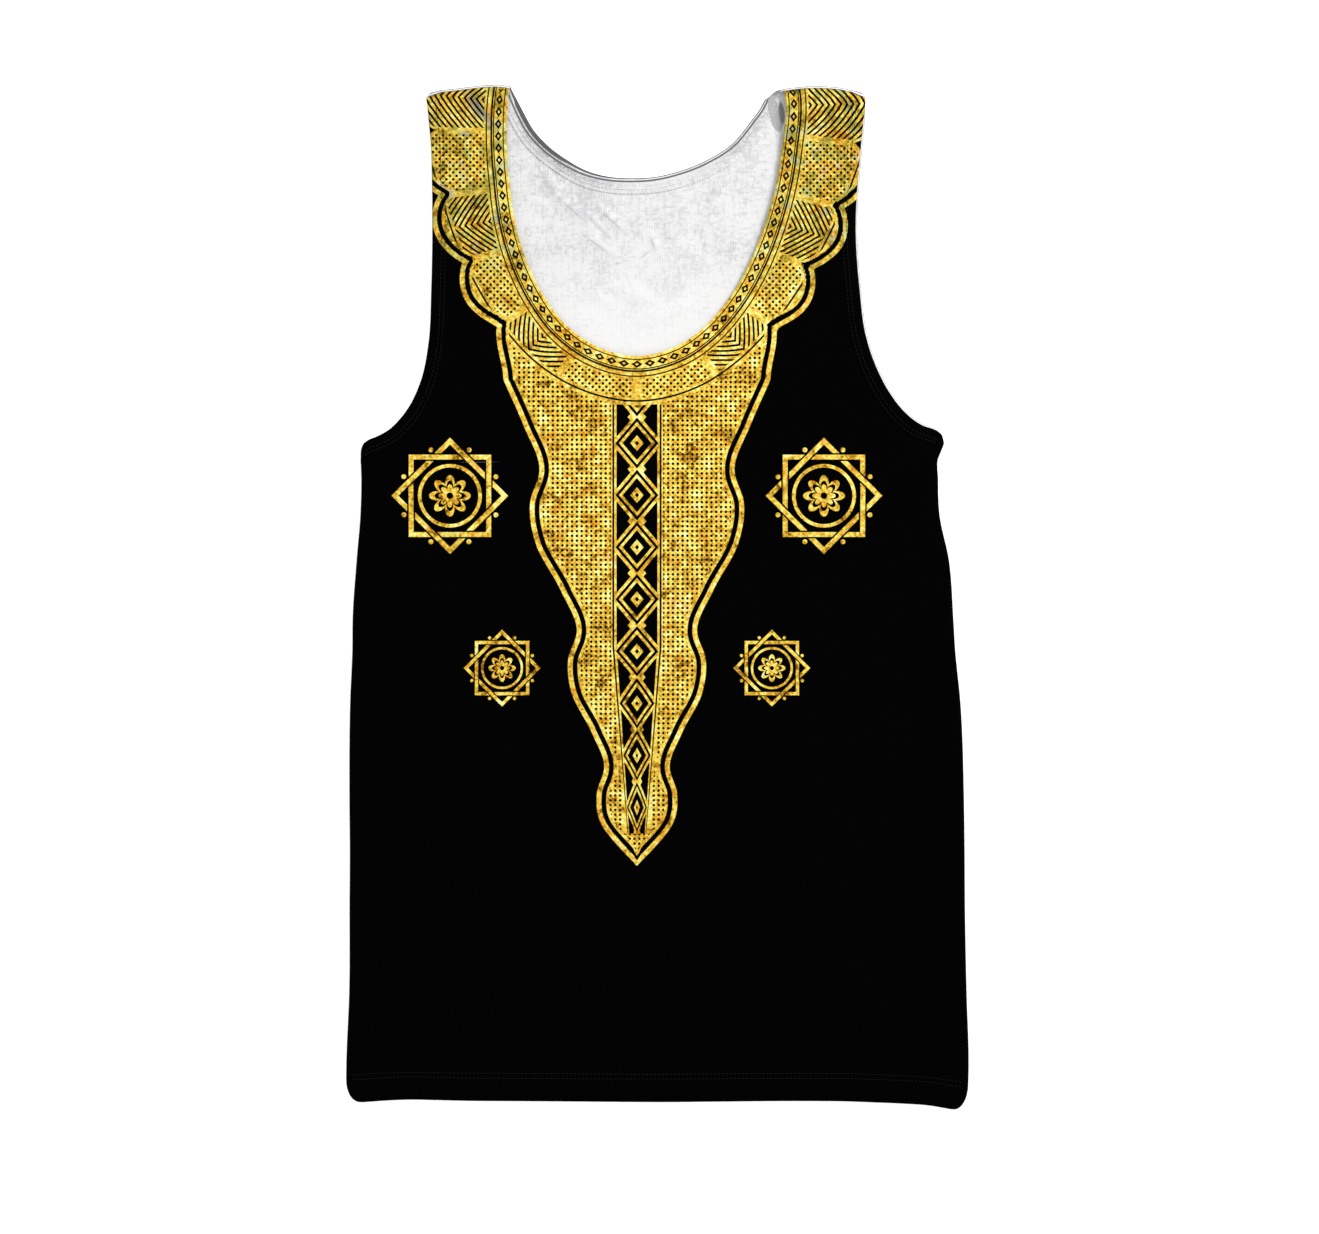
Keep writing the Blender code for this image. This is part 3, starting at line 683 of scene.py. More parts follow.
    def tip_fall(self, degrees: Iterable[float]) -> Array:
        """What is left of a step from the underarm tip to the armhole as the cloth goes round the side
        roll: less the sine across, and less its square along, so that the tip is round."""
        sine = np.sin(np.radians(np.array(degrees, float)))
        return np.stack([1 - sine, 1 - sine**2, 0 * sine], axis=1)

    def round_roll(self, ridge: Array, outward: Array, angle: float) -> tuple[Array, Array]:
        """Places on a roll, a half circle of the roll's radius turned about a line inside its ridge.

        Args:
            ridge: (across, up) of the roll's outermost line.
            outward: the level direction that the roll faces.
            angle: 0 where the roll leaves the front, and pi where it meets the back.

        Returns:
            Places (across, up, height) and outward unit vectors.
        """
        ridge = np.atleast_2d(ridge)
        way = np.array([*(math.sin(angle) * outward), math.cos(angle)])
        radius = self.outline.roll
        centre = np.column_stack([ridge - radius * outward, np.full(len(ridge), radius)])
        return centre + radius * way, np.tile(way, (len(ridge), 1))


def linear(colour: str) -> tuple[float, float, float, float]:
    """An sRGB hex colour as linear light."""
    parts = [int(colour[k : k + 2], 16) / 255 for k in (1, 3, 5)]
    return (*((c / 12.92 if c <= 0.04045 else ((c + 0.055) / 1.055) ** 2.4) for c in parts), 1.0)


class Field:
    """A number, colour or direction at each point of a surface, held as a node's output."""

    def __init__(self, nodes: "Nodes", socket: bpy.types.NodeSocket) -> None:
        """Keeps the output and the nodes that it belongs to."""
        self.nodes = nodes
        self.socket = socket

    def flipped(self) -> "Field":
        """1 less the field."""
        return self * -1.0 + 1.0


Value = Field | float | tuple


class Nodes:
    """A material's nodes, grown through one function."""

    def __init__(self, name: str) -> None:
        """Starts a material with a Principled shader.

        Args:
            name: the material's name.
        """
        self.material = bpy.data.materials.new(name)
        self.material.use_nodes = True
        self.tree = self.material.node_tree
        self.shader = self.tree.nodes["Principled BSDF"]

    def add(self, kind: str, settings: dict, links: dict, output: int | str = 0) -> Field:
        """Adds a node.

        Args:
            kind: the node's type.
            settings: its own settings by name.
            links: what goes into its inputs, by their names or numbers: a field or a plain value.
            output: which output is wanted.

        Returns:
            That output.
        """
        node = self.tree.nodes.new(kind)
        for name, value in settings.items():
            setattr(node, name, value)
        for name, value in links.items():
            self.feed(node.inputs[name], value)
        return Field(self, node.outputs[output])

    def feed(self, socket: bpy.types.NodeSocket, value: Value) -> None:
        """Links a field to an input, or sets a plain value on it.

        Args:
            socket: the input.
            value: the field or value.
        """
        if isinstance(value, Field):
            self.tree.links.new(value.socket, socket)
        else:
            socket.default_value = value

    def finish(self, **inputs: Value) -> bpy.types.Material:
        """Feeds the shader and gives the material.

        Args:
            inputs: fields or values by the shader's input names, with _ for a space.

        Returns:
            The material.
        """
        for name, value in inputs.items():
            self.feed(self.shader.inputs[name.replace("_", " ")], value)
        return self.material


def worked(kind: str, settings: dict, inputs: tuple, output: int | str) -> Callable[..., Field]:
    """The method that does one kind of work on fields.

    Args:
        kind: the node's type.
        settings: its own settings by name.
        inputs: the inputs that take the field itself and the method's arguments, in order.
        output: which output is wanted.

    Returns:
        A method of Field.
    """

    def method(self: Field, *others: Value) -> Field:
        """Adds the node and gives its output."""
        return self.nodes.add(kind, settings, dict(zip(inputs, (self, *others))), output)

    return method


# Sums on fields, by the operator or name that a formula writes them with.
SUMS = {
    "__add__": "ADD", "__sub__": "SUBTRACT", "__mul__": "MULTIPLY", "__truediv__": "DIVIDE",
    "__mod__": "FLOORED_MODULO", "__abs__": "ABSOLUTE", "__gt__": "GREATER_THAN", "__lt__": "LESS_THAN",
    "__or__": "MAXIMUM", "__and__": "MINIMUM", "sine": "SINE", "cosine": "COSINE",
    "angle": "ARCTAN2", "bounce": "PINGPONG", "root": "SQRT",
}

# Other work on fields: a rise from 0 to 1 between two values with level ends, a blend of two colours,
# noise of a scale, detail and roughness over places, places drawn out, and a height as a normal.
WORK = {
    "ramp": (
        "ShaderNodeMapRange",
        {"interpolation_type": "SMOOTHSTEP"},
        ("Value", "From Min", "From Max"),
        0,
    ),
    "blend": ("ShaderNodeMix", {"data_type": "RGBA"}, (0, 6, 7), 2),
    "noise": ("ShaderNodeTexNoise", {}, ("Vector", "Scale", "Detail", "Roughness"), "Fac"),
    "drawn": ("ShaderNodeVectorMath", {"operation": "MULTIPLY"}, (0, 1), 0),
    "bump": ("ShaderNodeBump", {}, ("Height", "Strength", "Distance"), 0),
}
WORK.update({name: ("ShaderNodeMath", {"operation": sum_}, (0, 1), 0) for name, sum_ in SUMS.items()})
for _name, _work in WORK.items():
    setattr(Field, _name, worked(*_work))


@dataclass(frozen=True)
class Spot:
    """What a material reads of each point: its coordinates, and how far across and up it lies."""

    nodes: Nodes
    coords: Field
    across: Field
    up: Field


@dataclass(frozen=True)
class Ornament:
    """A printed ornament of scallops, eyelets, chevrons, lozenges and eight-pointed stars.

    It is alike left and right. A yoke with a scalloped outline follows the neckline, a panel with
    waists hangs from it down the centre front, and interlaced stars stand at its sides.
    """

    outline: Outline

    # The outline: a gold strand, a black gap and a plain gold margin inside it.
    strand: float = 0.0036
    gap: float = 0.0036
    margin: float = 0.0022
    slope_step: float = 0.0006
    least_slope: float = 0.6
    deep: float = 0.05

    # The yoke: its depth, how far it widens over half its length, and its lobes.
    yoke_depth: float = 0.0350
    yoke_widens: float = 0.0420
    yoke_half: float = 0.2600
    lobe_pitch: float = 0.0430
    lobe_depth: float = 0.0115
    lobe_round: float = 0.8
    neck_steps: int = 200
    blend: float = 0.0140

    # Dark lines: their width, and where those of the border and of the yoke's rim lie.
    line: float = 0.0014
    fine_half: float = 0.36
    seam_line: float = 0.0004
    border_line: float = 0.0042
    border: float = 0.0062
    rim: float = 0.0040
    rim_line: float = 0.0014
    panel_below: float = 0.0018

    # The binding's chain of lozenges, and the rails beside it.
    chain_pitch: float = 0.0088
    chain_middle: float = 0.0062
    chain_half: float = 0.0027
    chain_long: float = 0.0038
    chain_heart: float = 0.36
    chain_rail: float = 0.0036
    chain_rail_half: float = 0.00042

    # Eyelets: the pitch of their square grid and their radius.
    eyelet_pitch: float = 0.0036
    eyelet_radius: float = 0.00102

    # Chevrons: pitch and width of their lines, and the rib between two sectors.
    chevron_pitch: float = 0.0045
    chevron_line: float = 0.0020
    rib: float = 0.0022

    # The column of nested lozenges down the panel: its sizes, and its lozenges' as shares of it.
    column_half: float = 0.0165
    column_rim: float = 0.0030
    column_rail: float = 0.0012
    column_top: float = 0.5215
    column_foot: float = 0.2000
    column_narrows: float = 0.3400
    column_least: float = 0.38
    column_gains: float = 0.62
    lozenge_pitch: float = 0.0390
    lozenge_rings: tuple[tuple[float, float], ...] = ((0.98, 0.82), (0.66, 0.30))
    lozenge_heart: float = 0.10
    triangle_from: float = 1.16
    bead: float = 0.42

    # Stars: the sizes of the upper pair, which the lower pair repeats smaller.
    star_square: float = 0.0290
    star_strand: float = 0.0036
    star_gap: float = 0.0012
    star_ring: float = 0.0225
    star_ring_share: float = 0.72
    star_rose: float = 0.0155
    star_rose_shares: tuple[float, float, float] = (0.74, 0.56, 0.16)
    star_petal: tuple[float, float] = (0.42, 0.58)
    star_bead: float = 0.0018
    star_bead_out: float = 0.0082
    star_places: tuple[tuple[float, float], ...] = ((0.1400, 0.4530), (0.1010, 0.3240))
    star_shrink: float = 0.66
    star_split: float = 0.3950

    # The panel's half width up the garment.
    PANEL: ClassVar[Table] = Table(
        "up half",
        (0.1680, -0.0060), (0.1760, 0.0000), (0.1880, 0.0115), (0.2080, 0.0270), (0.2300, 0.0300),
        (0.2500, 0.0245), (0.2760, 0.0340), (0.3060, 0.0490), (0.3300, 0.0515), (0.3520, 0.0450),
        (0.3820, 0.0570), (0.4180, 0.0760), (0.4480, 0.0800), (0.4720, 0.0730), (0.5060, 0.0850),
        (0.5400, 0.1000),
    )

    @cached_property
    def neckline(self) -> Array:
        """The front neckline that the yoke follows."""
        return self.outline.whole_neckline(Face.FRONT, self.neck_steps)

    def neck_places(self, points: Array) -> tuple[Array, Array]:
        """How far points lie from the neckline, and how far along it from its middle."""
        away, run = nearest_on(points, self.neckline)
        return away, run - lengths_along(self.neckline)[self.neck_steps]

    def level(self, points: Array) -> Array:
        """The smooth greater of the yoke's depth and the panel's width.

        The yoke's depth swells by the sine of the distance along the neckline, and grows by the square
        of that distance. Where yoke and panel come near each other they are blended by a quarter of
        the square of how near they are.

        Args:
            points: places (across, up).

        Returns:
            The level at each, above 0 inside the ornament.
        """
        away, run = self.neck_places(points)
        swell = self.lobe_depth * np.abs(np.sin(np.pi * run / self.lobe_pitch)) ** self.lobe_round
        yoke = self.yoke_depth + self.yoke_widens * (run / self.yoke_half) ** 2 + swell - away
        panel = smooth(points[:, 1], self.PANEL["up"], self.PANEL["half"]) - np.abs(points[:, 0])
        near = np.clip(self.blend - np.abs(yoke - panel), 0.0, None) / self.blend
        return np.maximum(yoke, panel) + near**2 * self.blend / 4

    def inside(self, points: Array) -> Array:
        """About how far inside the ornament's outline points lie: its level over its steepness.

        Args:
            points: places (across, up).

        Returns:
            The distance of each, below 0 outside.
        """
        step = self.slope_step
        slopes = [
            (self.level(points + step * way) - self.level(points - step * way)) / (2 * step)
            for way in np.eye(2)
        ]
        return self.level(points) / np.maximum(np.hypot(*slopes), self.least_slope)

    def values(self, points: Array, front: Array | bool = True) -> dict[str, Array]:
        """What the print's material reads at each point: nothing is printed off the front.

        Args:
            points: places (across, up).
            front: whether each lies on the front.

        Returns:
            The values by their attributes' names.
        """
        away, run = self.neck_places(points)
        inside = np.where(front, self.inside(points), -self.deep)
        return {"print_in": inside, "neck_off": away, "neck_run": run}

    def gold(self, spot: Spot) -> Field:
        """Where gold is printed, made of strands, lines and fills.

        Args:
            spot: what the material reads.

        Returns:
            1 where it is printed, and 0 elsewhere.
        """
        inside, off, run = (
            spot.nodes.add("ShaderNodeAttribute", {"attribute_name": name}, {}, "Fac")
            for name in ("print_in", "neck_off", "neck_run")
        )
        across, up, aside = spot.across, spot.up, abs(spot.across)
        strand = (inside > 0.0) * (inside < self.strand)
        fill = inside > self.strand + self.gap
        worked_gold = inside > self.strand + self.gap + self.margin
        seam = self.outline.binding_width
        dark = self.chain(off, run) * (off < seam)
        dark = dark | (abs(off - (seam + self.seam_line)) < self.line / 2)
        dark = dark | (abs(off - (seam + self.border_line)) < self.line * self.fine_half)
        past = abs(run) / self.yoke_half
        depth = past * past * self.yoke_widens + self.yoke_depth
        yoke = (off > seam + self.border) * (off < depth - self.rim) * worked_gold
        dark = dark | self.sectors(across, up, off, run) * yoke
        dark = dark | (abs(off - depth + self.rim_line) < self.line / 2) * worked_gold
        panel = (off > depth + self.panel_below) * worked_gold
        narrow = self.narrowing(up)
        column = (aside < narrow * self.column_half + self.column_rim) * (up > self.column_foot)
        dark = dark | self.eyelets(across, up) * panel * column.flipped()
        dark = dark | self.column(across, up, narrow) * panel
        return (strand | fill * dark.flipped()) | self.stars(aside, up)

    def chain(self, off: Field, run: Field) -> Field:
        """Lozenges in a row along the binding between two rails, each with a gold heart.

        Args:
            off: how far each point lies from the neckline.
            run: how far along the neckline.

        Returns:
            1 on their dark lines.
        """
        along = (run / self.chain_pitch + 0.5) % 1.0
        aside = abs(off - self.chain_middle)
        size = abs(along - 0.5) * (self.chain_pitch / self.chain_long) + aside / self.chain_half
        rails = abs(aside - self.chain_rail) < self.chain_rail_half
        return ((size < 1.0) * (size > self.chain_heart)) | rails

    def eyelets(self, across: Field, up: Field) -> Field:
        """Dots on a square grid: near the middle of each cell."""
        cells = [(place / self.eyelet_pitch) % 1.0 - 0.5 for place in (across, up)]
        return cells[0] * cells[0] + cells[1] * cells[1] < (self.eyelet_radius / self.eyelet_pitch) ** 2

    def sectors(self, across: Field, up: Field, off: Field, run: Field) -> Field:
        """The yoke's chevrons and slanting eyelets by turns, with a plain rib between two.

        Args:
            across: how far across each point lies.
            up: how far up.
            off: how far from the neckline.
            run: how far along the neckline.

        Returns:
            1 on their dark lines and dots.
        """
        lobe = abs(run) / self.lobe_pitch
        odd = lobe % 2.0 > 1.0
        place = lobe % 1.0
        rib = place.bounce(0.5) < self.rib / self.lobe_pitch
        slant = (abs(place - 0.5) * self.lobe_pitch + off) / self.chevron_pitch
        chevrons = slant % 1.0 < self.chevron_line / self.chevron_pitch
        eyelets = self.eyelets((across + up) * math.sqrt(0.5), (across - up) * math.sqrt(0.5))
        return (chevrons * odd | eyelets * odd.flipped()) * rib.flipped()

    def narrowing(self, up: Field) -> Field:
        """1 down the column's upper part, and less towards its foot."""
        share = (up - self.column_foot) / (self.column_narrows - self.column_foot)
        return ((share | 0.0) & 1.0) * self.column_gains + self.column_least

    def column(self, across: Field, up: Field, narrow: Field) -> Field:
        """Nested lozenges between two lines, with a bead between each two.

        Args:
            across: how far across each point lies.
            up: how far up.
            narrow: the column's width there, as a share.

        Returns:
            1 on their dark parts.
        """
        aside = abs(across) / narrow
        along = ((up - self.column_foot) / self.lozenge_pitch) % 1.0 - 0.5
        size = aside / self.column_half + abs(along) * 2.0
        outer, inner = ((size < high) * (size > low) for high, low in self.lozenge_rings)
        rings = outer | inner | (size < self.lozenge_heart)
        rails = abs(aside - (self.column_half + self.column_rail)) < self.line / 2
        corner = aside / self.column_half + (along.bounce(0.5) * -1.0 + 0.5) * 2.0
        within = aside < self.column_half - self.column_rail
        triangles = (size > self.triangle_from) * within * (corner > self.bead)
        between = (up > self.column_foot) * (up < self.column_top)
        return (rings | rails | triangles) * between

    def stars(self, aside: Field, up: Field) -> Field:
        """Eight-pointed stars of two interlaced squares, each round a ring and a rose.

        A square is where the greater of two distances is steady, and the other is the same turned by
        an eighth. Of two strands that cross, the one on top changes with each eighth of the circle,
        and the lower one stops a gap short of it.

        Args:
            aside: how far each point lies from the centre front.
            up: how far up.

        Returns:
            1 on their gold parts.
        """
        low = up < self.star_split
        (high_x, high_y), (low_x, low_y) = self.star_places
        size = low * (self.star_shrink - 1.0) + 1.0
        u = (aside - (low * (low_x - high_x) + high_x)) / size
        v = (up - (low * (low_y - high_y) + high_y)) / size
        upright, tilted = abs(u) | abs(v), (abs(u) + abs(v)) * math.sqrt(0.5)
        squares = [upright - self.star_square, tilted - self.star_square]
        turn = v.angle(u)
        eighth = (turn / (math.pi / 4) + 8.0) % 2.0 > 1.0
        half = self.star_strand / 2
        strands = []
        for this, other, below in ((0, 1, eighth.flipped()), (1, 0, eighth)):
            cut = below * (abs(squares[other]) < half + self.star_gap)
            strands.append((abs(squares[this]) < half) * cut.flipped())
        radius = (u * u + v * v).root()
        ring = abs(radius - self.star_ring) < half * self.star_ring_share
        petals = abs((turn * 4.0).cosine()) * self.star_petal[0] + self.star_petal[1]
        rim, heart, eye = (self.star_rose * share for share in self.star_rose_shares)
        rose = (radius < petals * self.star_rose) * (radius > petals * rim)
        rose = rose | (radius < petals * heart) * (radius > eye)
        spoke = turn.bounce(math.pi / 8) * -1.0 + math.pi / 8
        bead_x = radius * spoke.cosine() - (self.star_square + self.star_bead_out)
        bead_y = radius * spoke.sine()
        beads = bead_x * bead_x + bead_y * bead_y < self.star_bead**2
        return strands[0] | strands[1] | ring | rose | beads


@dataclass(frozen=True)
class Knit:
    """Fine polyester jersey: matt, with wales up the garment and courses across it.

    Real wales are about 0.8 mm apart. They are drawn 1.9 mm apart, so that they show in the render.
    """

    wale: float = 0.0019
    course: float = 0.0023
    wale_height: float = 0.72
    course_height: float = 0.28
    relief: float = 0.00012
    strength: float = 0.35

    def normal(self, across: Field, up: Field) -> Field:
        """The surface's normal over ribs by a sine of the place across, crossed by slanting courses.

        Args:
            across: how far across each point lies.
            up: how far up.

        Returns:
            The normal at each point.
        """
        wales = (across * (2 * math.pi / self.wale)).sine()
        lean = abs((across / self.wale) % 1.0 - 0.5) * self.wale
        courses = ((up + lean) * (2 * math.pi / self.course)).sine()
        height = wales * self.wale_height + courses * self.course_height
        return height.bump(self.strength, self.relief)


@dataclass(frozen=True)
class Patch:
    """A slanting oval patch: its middle, its direction in degrees, its half length and half width."""

    across: float
    up: float
    turn: float
    long: float
    wide: float

    def over(self, spot: Spot) -> Field:
        """1 in the middle of the patch and 0 at its edge, by the square of the distance.

        Args:
            spot: what the material reads.

        Returns:
            How far each point lies in the patch.
        """
        x, y = spot.across - self.across, spot.up - self.up
        turn = math.radians(self.turn)
        along = (x * math.cos(turn) + y * math.sin(turn)) / self.long
        aside = (y * math.cos(turn) - x * math.sin(turn)) / self.wide
        return (along * along + aside * aside).flipped() | 0.0


class Finish(Enum):
    """How a face of the cloth is finished."""

    PRINTED = "black_knit_printed_gold"
    WHITE = "white_knit"
    BLACK = "black_knit"


@dataclass(frozen=True)
class Cloth:
    """Polyester jersey, white as it comes, and dyed black and printed with gold pigment outside.

    The dye drinks nearly all light, so the knit hardly shows in it. The pigment lies on the threads
    and is as matt as they are, mottled from dark gold through yellow to pale gold; at the yoke and
    straps painted shade makes it duller and greenish, and painted highlights make it silvery. The bare
    side is a soft white with grey clouds, and painted light and shade in places.
    """

    ornament: Ornament
    placement: Placement
    knit: Knit = Knit()
    matt: float = 0.9
    print_matt: float = 0.85
    dyed_gloss: float = 0.02
    white_gloss: float = 0.2
    thread_matt: float = 0.7

    # White knit as it comes, its grey shades, and a painted light that makes it lighter low in the neck's
    # scoop.
    white: str = "#EAEAEA"
    shade: str = "#CBCBCD"
    shade_from: tuple[float, float] = (0.46, 0.68)
    # Painted light low in the neck's scoop: its colour, the ups it fades between, and its share.
    light: str = "#F4F4F4"
    painted_light_ups: tuple[float, float] = (0.640, 0.570)
    painted_light_share: float = 0.75
    # Painted shade in the streaks of the scoop's creases, and its share.
    crease_shade: str = "#A6A6A9"
    crease_shade_share: float = 0.42
    # Painted shade in speckles on the back neck's strip.
    speckled_shade: str = "#8E8E91"
    # Painted shade by the right strap: a grey oval and its darker rim.
    leaf_shade: str = "#B2B2B3"
    leaf_shade_rim: str = "#868688"

    # Black dye, nearly without a gloss; a painted grey edge shading where the dye ends at an edge, and a
    # painted shade line of light grey along the edge.
    black: str = "#010101"
    painted_grey: str = "#5C5C5E"
    painted_edge_shade: str = "#6E6E70"

    # Gold print: its darkest tone, the spread of its tones and its orange patches; at the yoke and straps
    # patches of painted shade, duller and greenish, and of painted highlight, silvery, and a painted crease
    # shade on the left strap.
    gold_dark: str = "#7A5514"
    gold_spread: float = 1.45
    gold_middle: float = 0.522
    orange: str = "#E28E0C"
    # Painted shade at the yoke and straps: duller, greenish gold.
    olive_shade: str = "#66742C"
    # Painted highlight there: silvery patches.
    silver_highlight: str = "#C4D0B4"
    # Painted crease shade on the left strap's print.
    strap_crease_shade: str = "#77776E"
    # Where the yoke and straps begin, which get the painted shade and highlights.
    strap_painted_light_ups: tuple[float, float] = (0.560, 0.680)

    # Gold tones from dark to light, and the noise values that each comes in between.
    TONES: ClassVar[tuple[tuple[str, float, float], ...]] = (
        ("#BD9229", 0.34, 0.42),
        ("#DFB038", 0.41, 0.47),
        ("#F1C84B", 0.46, 0.52),
        ("#FBEB6C", 0.52, 0.60),
        ("#FFFDB4", 0.60, 0.70),
    )

    # Noises: size of the blotches in metres and detail, for gold's blotches, patches, grain, hues and
    # painted silvery highlights, and for white's clouds, flecks, the painted shade's speckles and threads.
    GOLD_NOISES: ClassVar[tuple] = ((0.0140, 2.0), (0.0050, 2.0), (0.0022, 1.0), (0.0085, 2.0), (0.0110, 3.0))
    WHITE_NOISES: ClassVar[tuple] = ((0.0300, 3.0), (0.0032, 2.0), (0.0021, 1.0))
    THREADS: ClassVar[tuple[float, float]] = (0.0019, 2.0)
    NOISE_ROUGH: ClassVar[float] = 0.55

    # Threads are drawn out up the garment and across it.
    THREAD_WAYS: ClassVar[tuple] = ((1.0, 0.26, 1.0), (0.26, 1.0, 1.0))

    # Patches of painted shade: two on the white side below the back neck's strip, grey streaks in the
    # scoop's creases, a grey oval with a darker rim by the right strap, and one on the left strap's print.
    STRIP_SHADES: ClassVar[tuple[tuple[Patch, float], ...]] = (
        (Patch(-0.0540, 0.6880, -38.0, 0.0420, 0.0200), 0.07),
        (Patch(0.0700, 0.6900, 45.0, 0.0380, 0.0180), 0.05),
    )
    CREASES: ClassVar[tuple[Patch, ...]] = (
        Patch(-0.0190, 0.6590, -41.0, 0.0130, 0.0010),
        Patch(-0.0295, 0.6408, -36.0, 0.0140, 0.0009),
        Patch(-0.0480, 0.6668, -43.0, 0.0150, 0.0010),
        Patch(-0.0300, 0.6560, -45.0, 0.0200, 0.0022),
        Patch(0.0120, 0.6420, -68.0, 0.0070, 0.0012),
        Patch(0.0060, 0.6340, 38.0, 0.0060, 0.0012),
    )
    LEAF_SHADE: ClassVar[Patch] = Patch(0.1035, 0.7390, 104.0, 0.0145, 0.0048)
    LEAF_SHADE_RIM: ClassVar[Patch] = Patch(0.1085, 0.7400, 96.0, 0.0100, 0.0026)
    # Painted crease shade on the left strap's print.
    STRAP_CREASE_SHADE: ClassVar[Patch] = Patch(-0.1190, 0.7440, -50.0, 0.0190, 0.0046)

    def spot(self, nodes: Nodes) -> Spot:
        """What a material reads of each point.

        Args:
            nodes: the material's nodes.

        Returns:
            The object's coordinates, and how far across and up they are.
        """
        coords = nodes.add("ShaderNodeTexCoord", {}, {}, "Object")
        axes = [nodes.add("ShaderNodeSeparateXYZ", {}, {0: coords}, k) for k in range(2)]
        across, up = (axis - shift for axis, shift in zip(axes, map(float, self.placement.shift)))
        return Spot(nodes, coords, across, up)

    def noises(self, coords: Field, rows: Iterable[tuple[float, float]]) -> list[Field]:
        """Soft noises over places, each from the size of its blotches and its detail."""
        return [coords.noise(1.0 / size, detail, self.NOISE_ROUGH) for size, detail in rows]

    def layered(self, colour: Value, layers: Iterable[tuple[Field, str]]) -> Field:
        """Colours laid over one another.

        Args:
            colour: the lowest.
            layers: the share and the colour of each that is laid over it.

        Returns:
            What shows.
        """
        for share, over in layers:
            colour = share.blend(colour, linear(over))
        return colour

    def gold_colour(self, spot: Spot) -> Field:
        """Gold print, matt and mottled: blotches of 14 mm, patches of 5 mm and a grain of 2 mm, with
        orange patches; at the yoke and straps painted shade makes it duller and greenish and painted
        highlights make it silvery, and a painted crease shade lies on the left strap.

        Args:
            spot: what the material reads.

        Returns:
            The colour.
        """
        blotch, patch, grain, hue, sheen = self.noises(spot.coords, self.GOLD_NOISES)
        value = blotch * 0.34 + patch * 0.32 + grain * 0.34 - 0.5
        value = value * self.gold_spread + self.gold_middle
        # The yoke and straps, which get painted shade and painted highlights.
        high = spot.up.ramp(*self.strap_painted_light_ups)
        tones = [(value.ramp(low, top), tone) for tone, low, top in self.TONES]
        patches = [
            (hue.ramp(0.55, 0.70) * 0.55, self.orange),
            # Painted shade: duller, greenish gold at the yoke and straps.
            (high * (hue.ramp(0.56, 0.36) * 0.50 + 0.12), self.olive_shade),
            # Painted highlight: silvery patches there.
            (high * (sheen.ramp(0.56, 0.70) * 0.50), self.silver_highlight),
            # Painted crease shade on the left strap's print.
            (self.STRAP_CREASE_SHADE.over(spot) * patch * 1.5, self.strap_crease_shade),
        ]
        return self.layered(linear(self.gold_dark), tones + patches)

    def white_colour(self, spot: Spot) -> Field:
        """White knit mottled with soft grey clouds and threads, with painted light low in the neck's scoop,
        painted shade below the back neck's strip, in the scoop's crease streaks, in speckles on the strip
        and in a grey oval by the right strap.

        Args:
            spot: what the material reads.

        Returns:
            The colour.
        """
        cloud, fleck, specks = self.noises(spot.coords, self.WHITE_NOISES)
        threads = [self.noises(spot.coords.drawn(way), [self.THREADS])[0] for way in self.THREAD_WAYS]
        shade = cloud * 0.30 + fleck * 0.26 + (threads[0] | threads[1]) * 0.44
        # Painted shade below the back neck's strip.
        for patch, strength in self.STRIP_SHADES:
            shade = shade + patch.over(spot) * strength
        # How much painted shade, in speckles, greys the back neck's strip.
        painted_grey = spot.nodes.add("ShaderNodeAttribute", {"attribute_name": "speckled_shade"}, {}, "Fac")
        # Painted shade in the streaks of the scoop's creases.
        layers = [(patch.over(spot) * self.crease_shade_share, self.crease_shade) for patch in self.CREASES]
        layers += [
            # Painted light: lighter low in the neck's scoop.
            (spot.up.ramp(*self.painted_light_ups) * self.painted_light_share, self.light),
            (painted_grey * (specks.ramp(0.35, 0.60) * 0.75 + 0.25), self.speckled_shade),
            # Painted shade by the right strap: a grey oval with a darker rim.
            (self.LEAF_SHADE.over(spot).ramp(0.0, 0.25), self.leaf_shade),
            (self.LEAF_SHADE_RIM.over(spot).ramp(0.0, 0.60), self.leaf_shade_rim),
        ]
        shaded = shade.ramp(*self.shade_from).blend(linear(self.white), linear(self.shade))
        return self.layered(shaded, layers)

    def edged(self, bare: Field, colour: Value, white: Field) -> Field:
        """A dyed colour that turns to a painted grey edge shading, then to white, and then to a painted shade
        line of light grey along an edge.

        Args:
            bare: how far the dye has gone.
            colour: the dyed colour.
            white: the knit's own colour.

        Returns:
            What shows.
        """
        # Painted grey edge shading where the dye ends.
        grey = bare.ramp(0.22, 0.32).blend(colour, linear(self.painted_grey))
        clean = bare.ramp(0.42, 0.52).blend(grey, white)
        # Painted shade line of light grey along the edge's crest.
        line = bare.ramp(0.70, 0.82) * bare.ramp(1.30, 1.15)
        return line.blend(clean, linear(self.painted_edge_shade))

    def face(self, finish: Finish) -> bpy.types.Material:
        """A face of the cloth. A dyed one turns white at the folds and edges that say so, with painted grey
        edge shading there.

        Args:
            finish: how it is finished.

        Returns:
            Its material.
        """
        nodes = Nodes(finish.value)
        spot = self.spot(nodes)
        colour = white = self.white_colour(spot)
        if finish is not Finish.WHITE:
            dyed: Value = linear(self.black)
            if finish is Finish.PRINTED:
                dyed = self.ornament.gold(spot).blend(dyed, self.gold_colour(spot))
            bare = nodes.add("ShaderNodeAttribute", {"attribute_name": "bare"}, {}, "Fac")
            colour = self.edged(bare, dyed, white)
        return nodes.finish(
            Base_Color=colour,
            Roughness=self.print_matt if finish is Finish.PRINTED else self.matt,
            Specular_IOR_Level=self.white_gloss if finish is Finish.WHITE else self.dyed_gloss,
            Normal=self.knit.normal(spot.across, spot.up),
        )

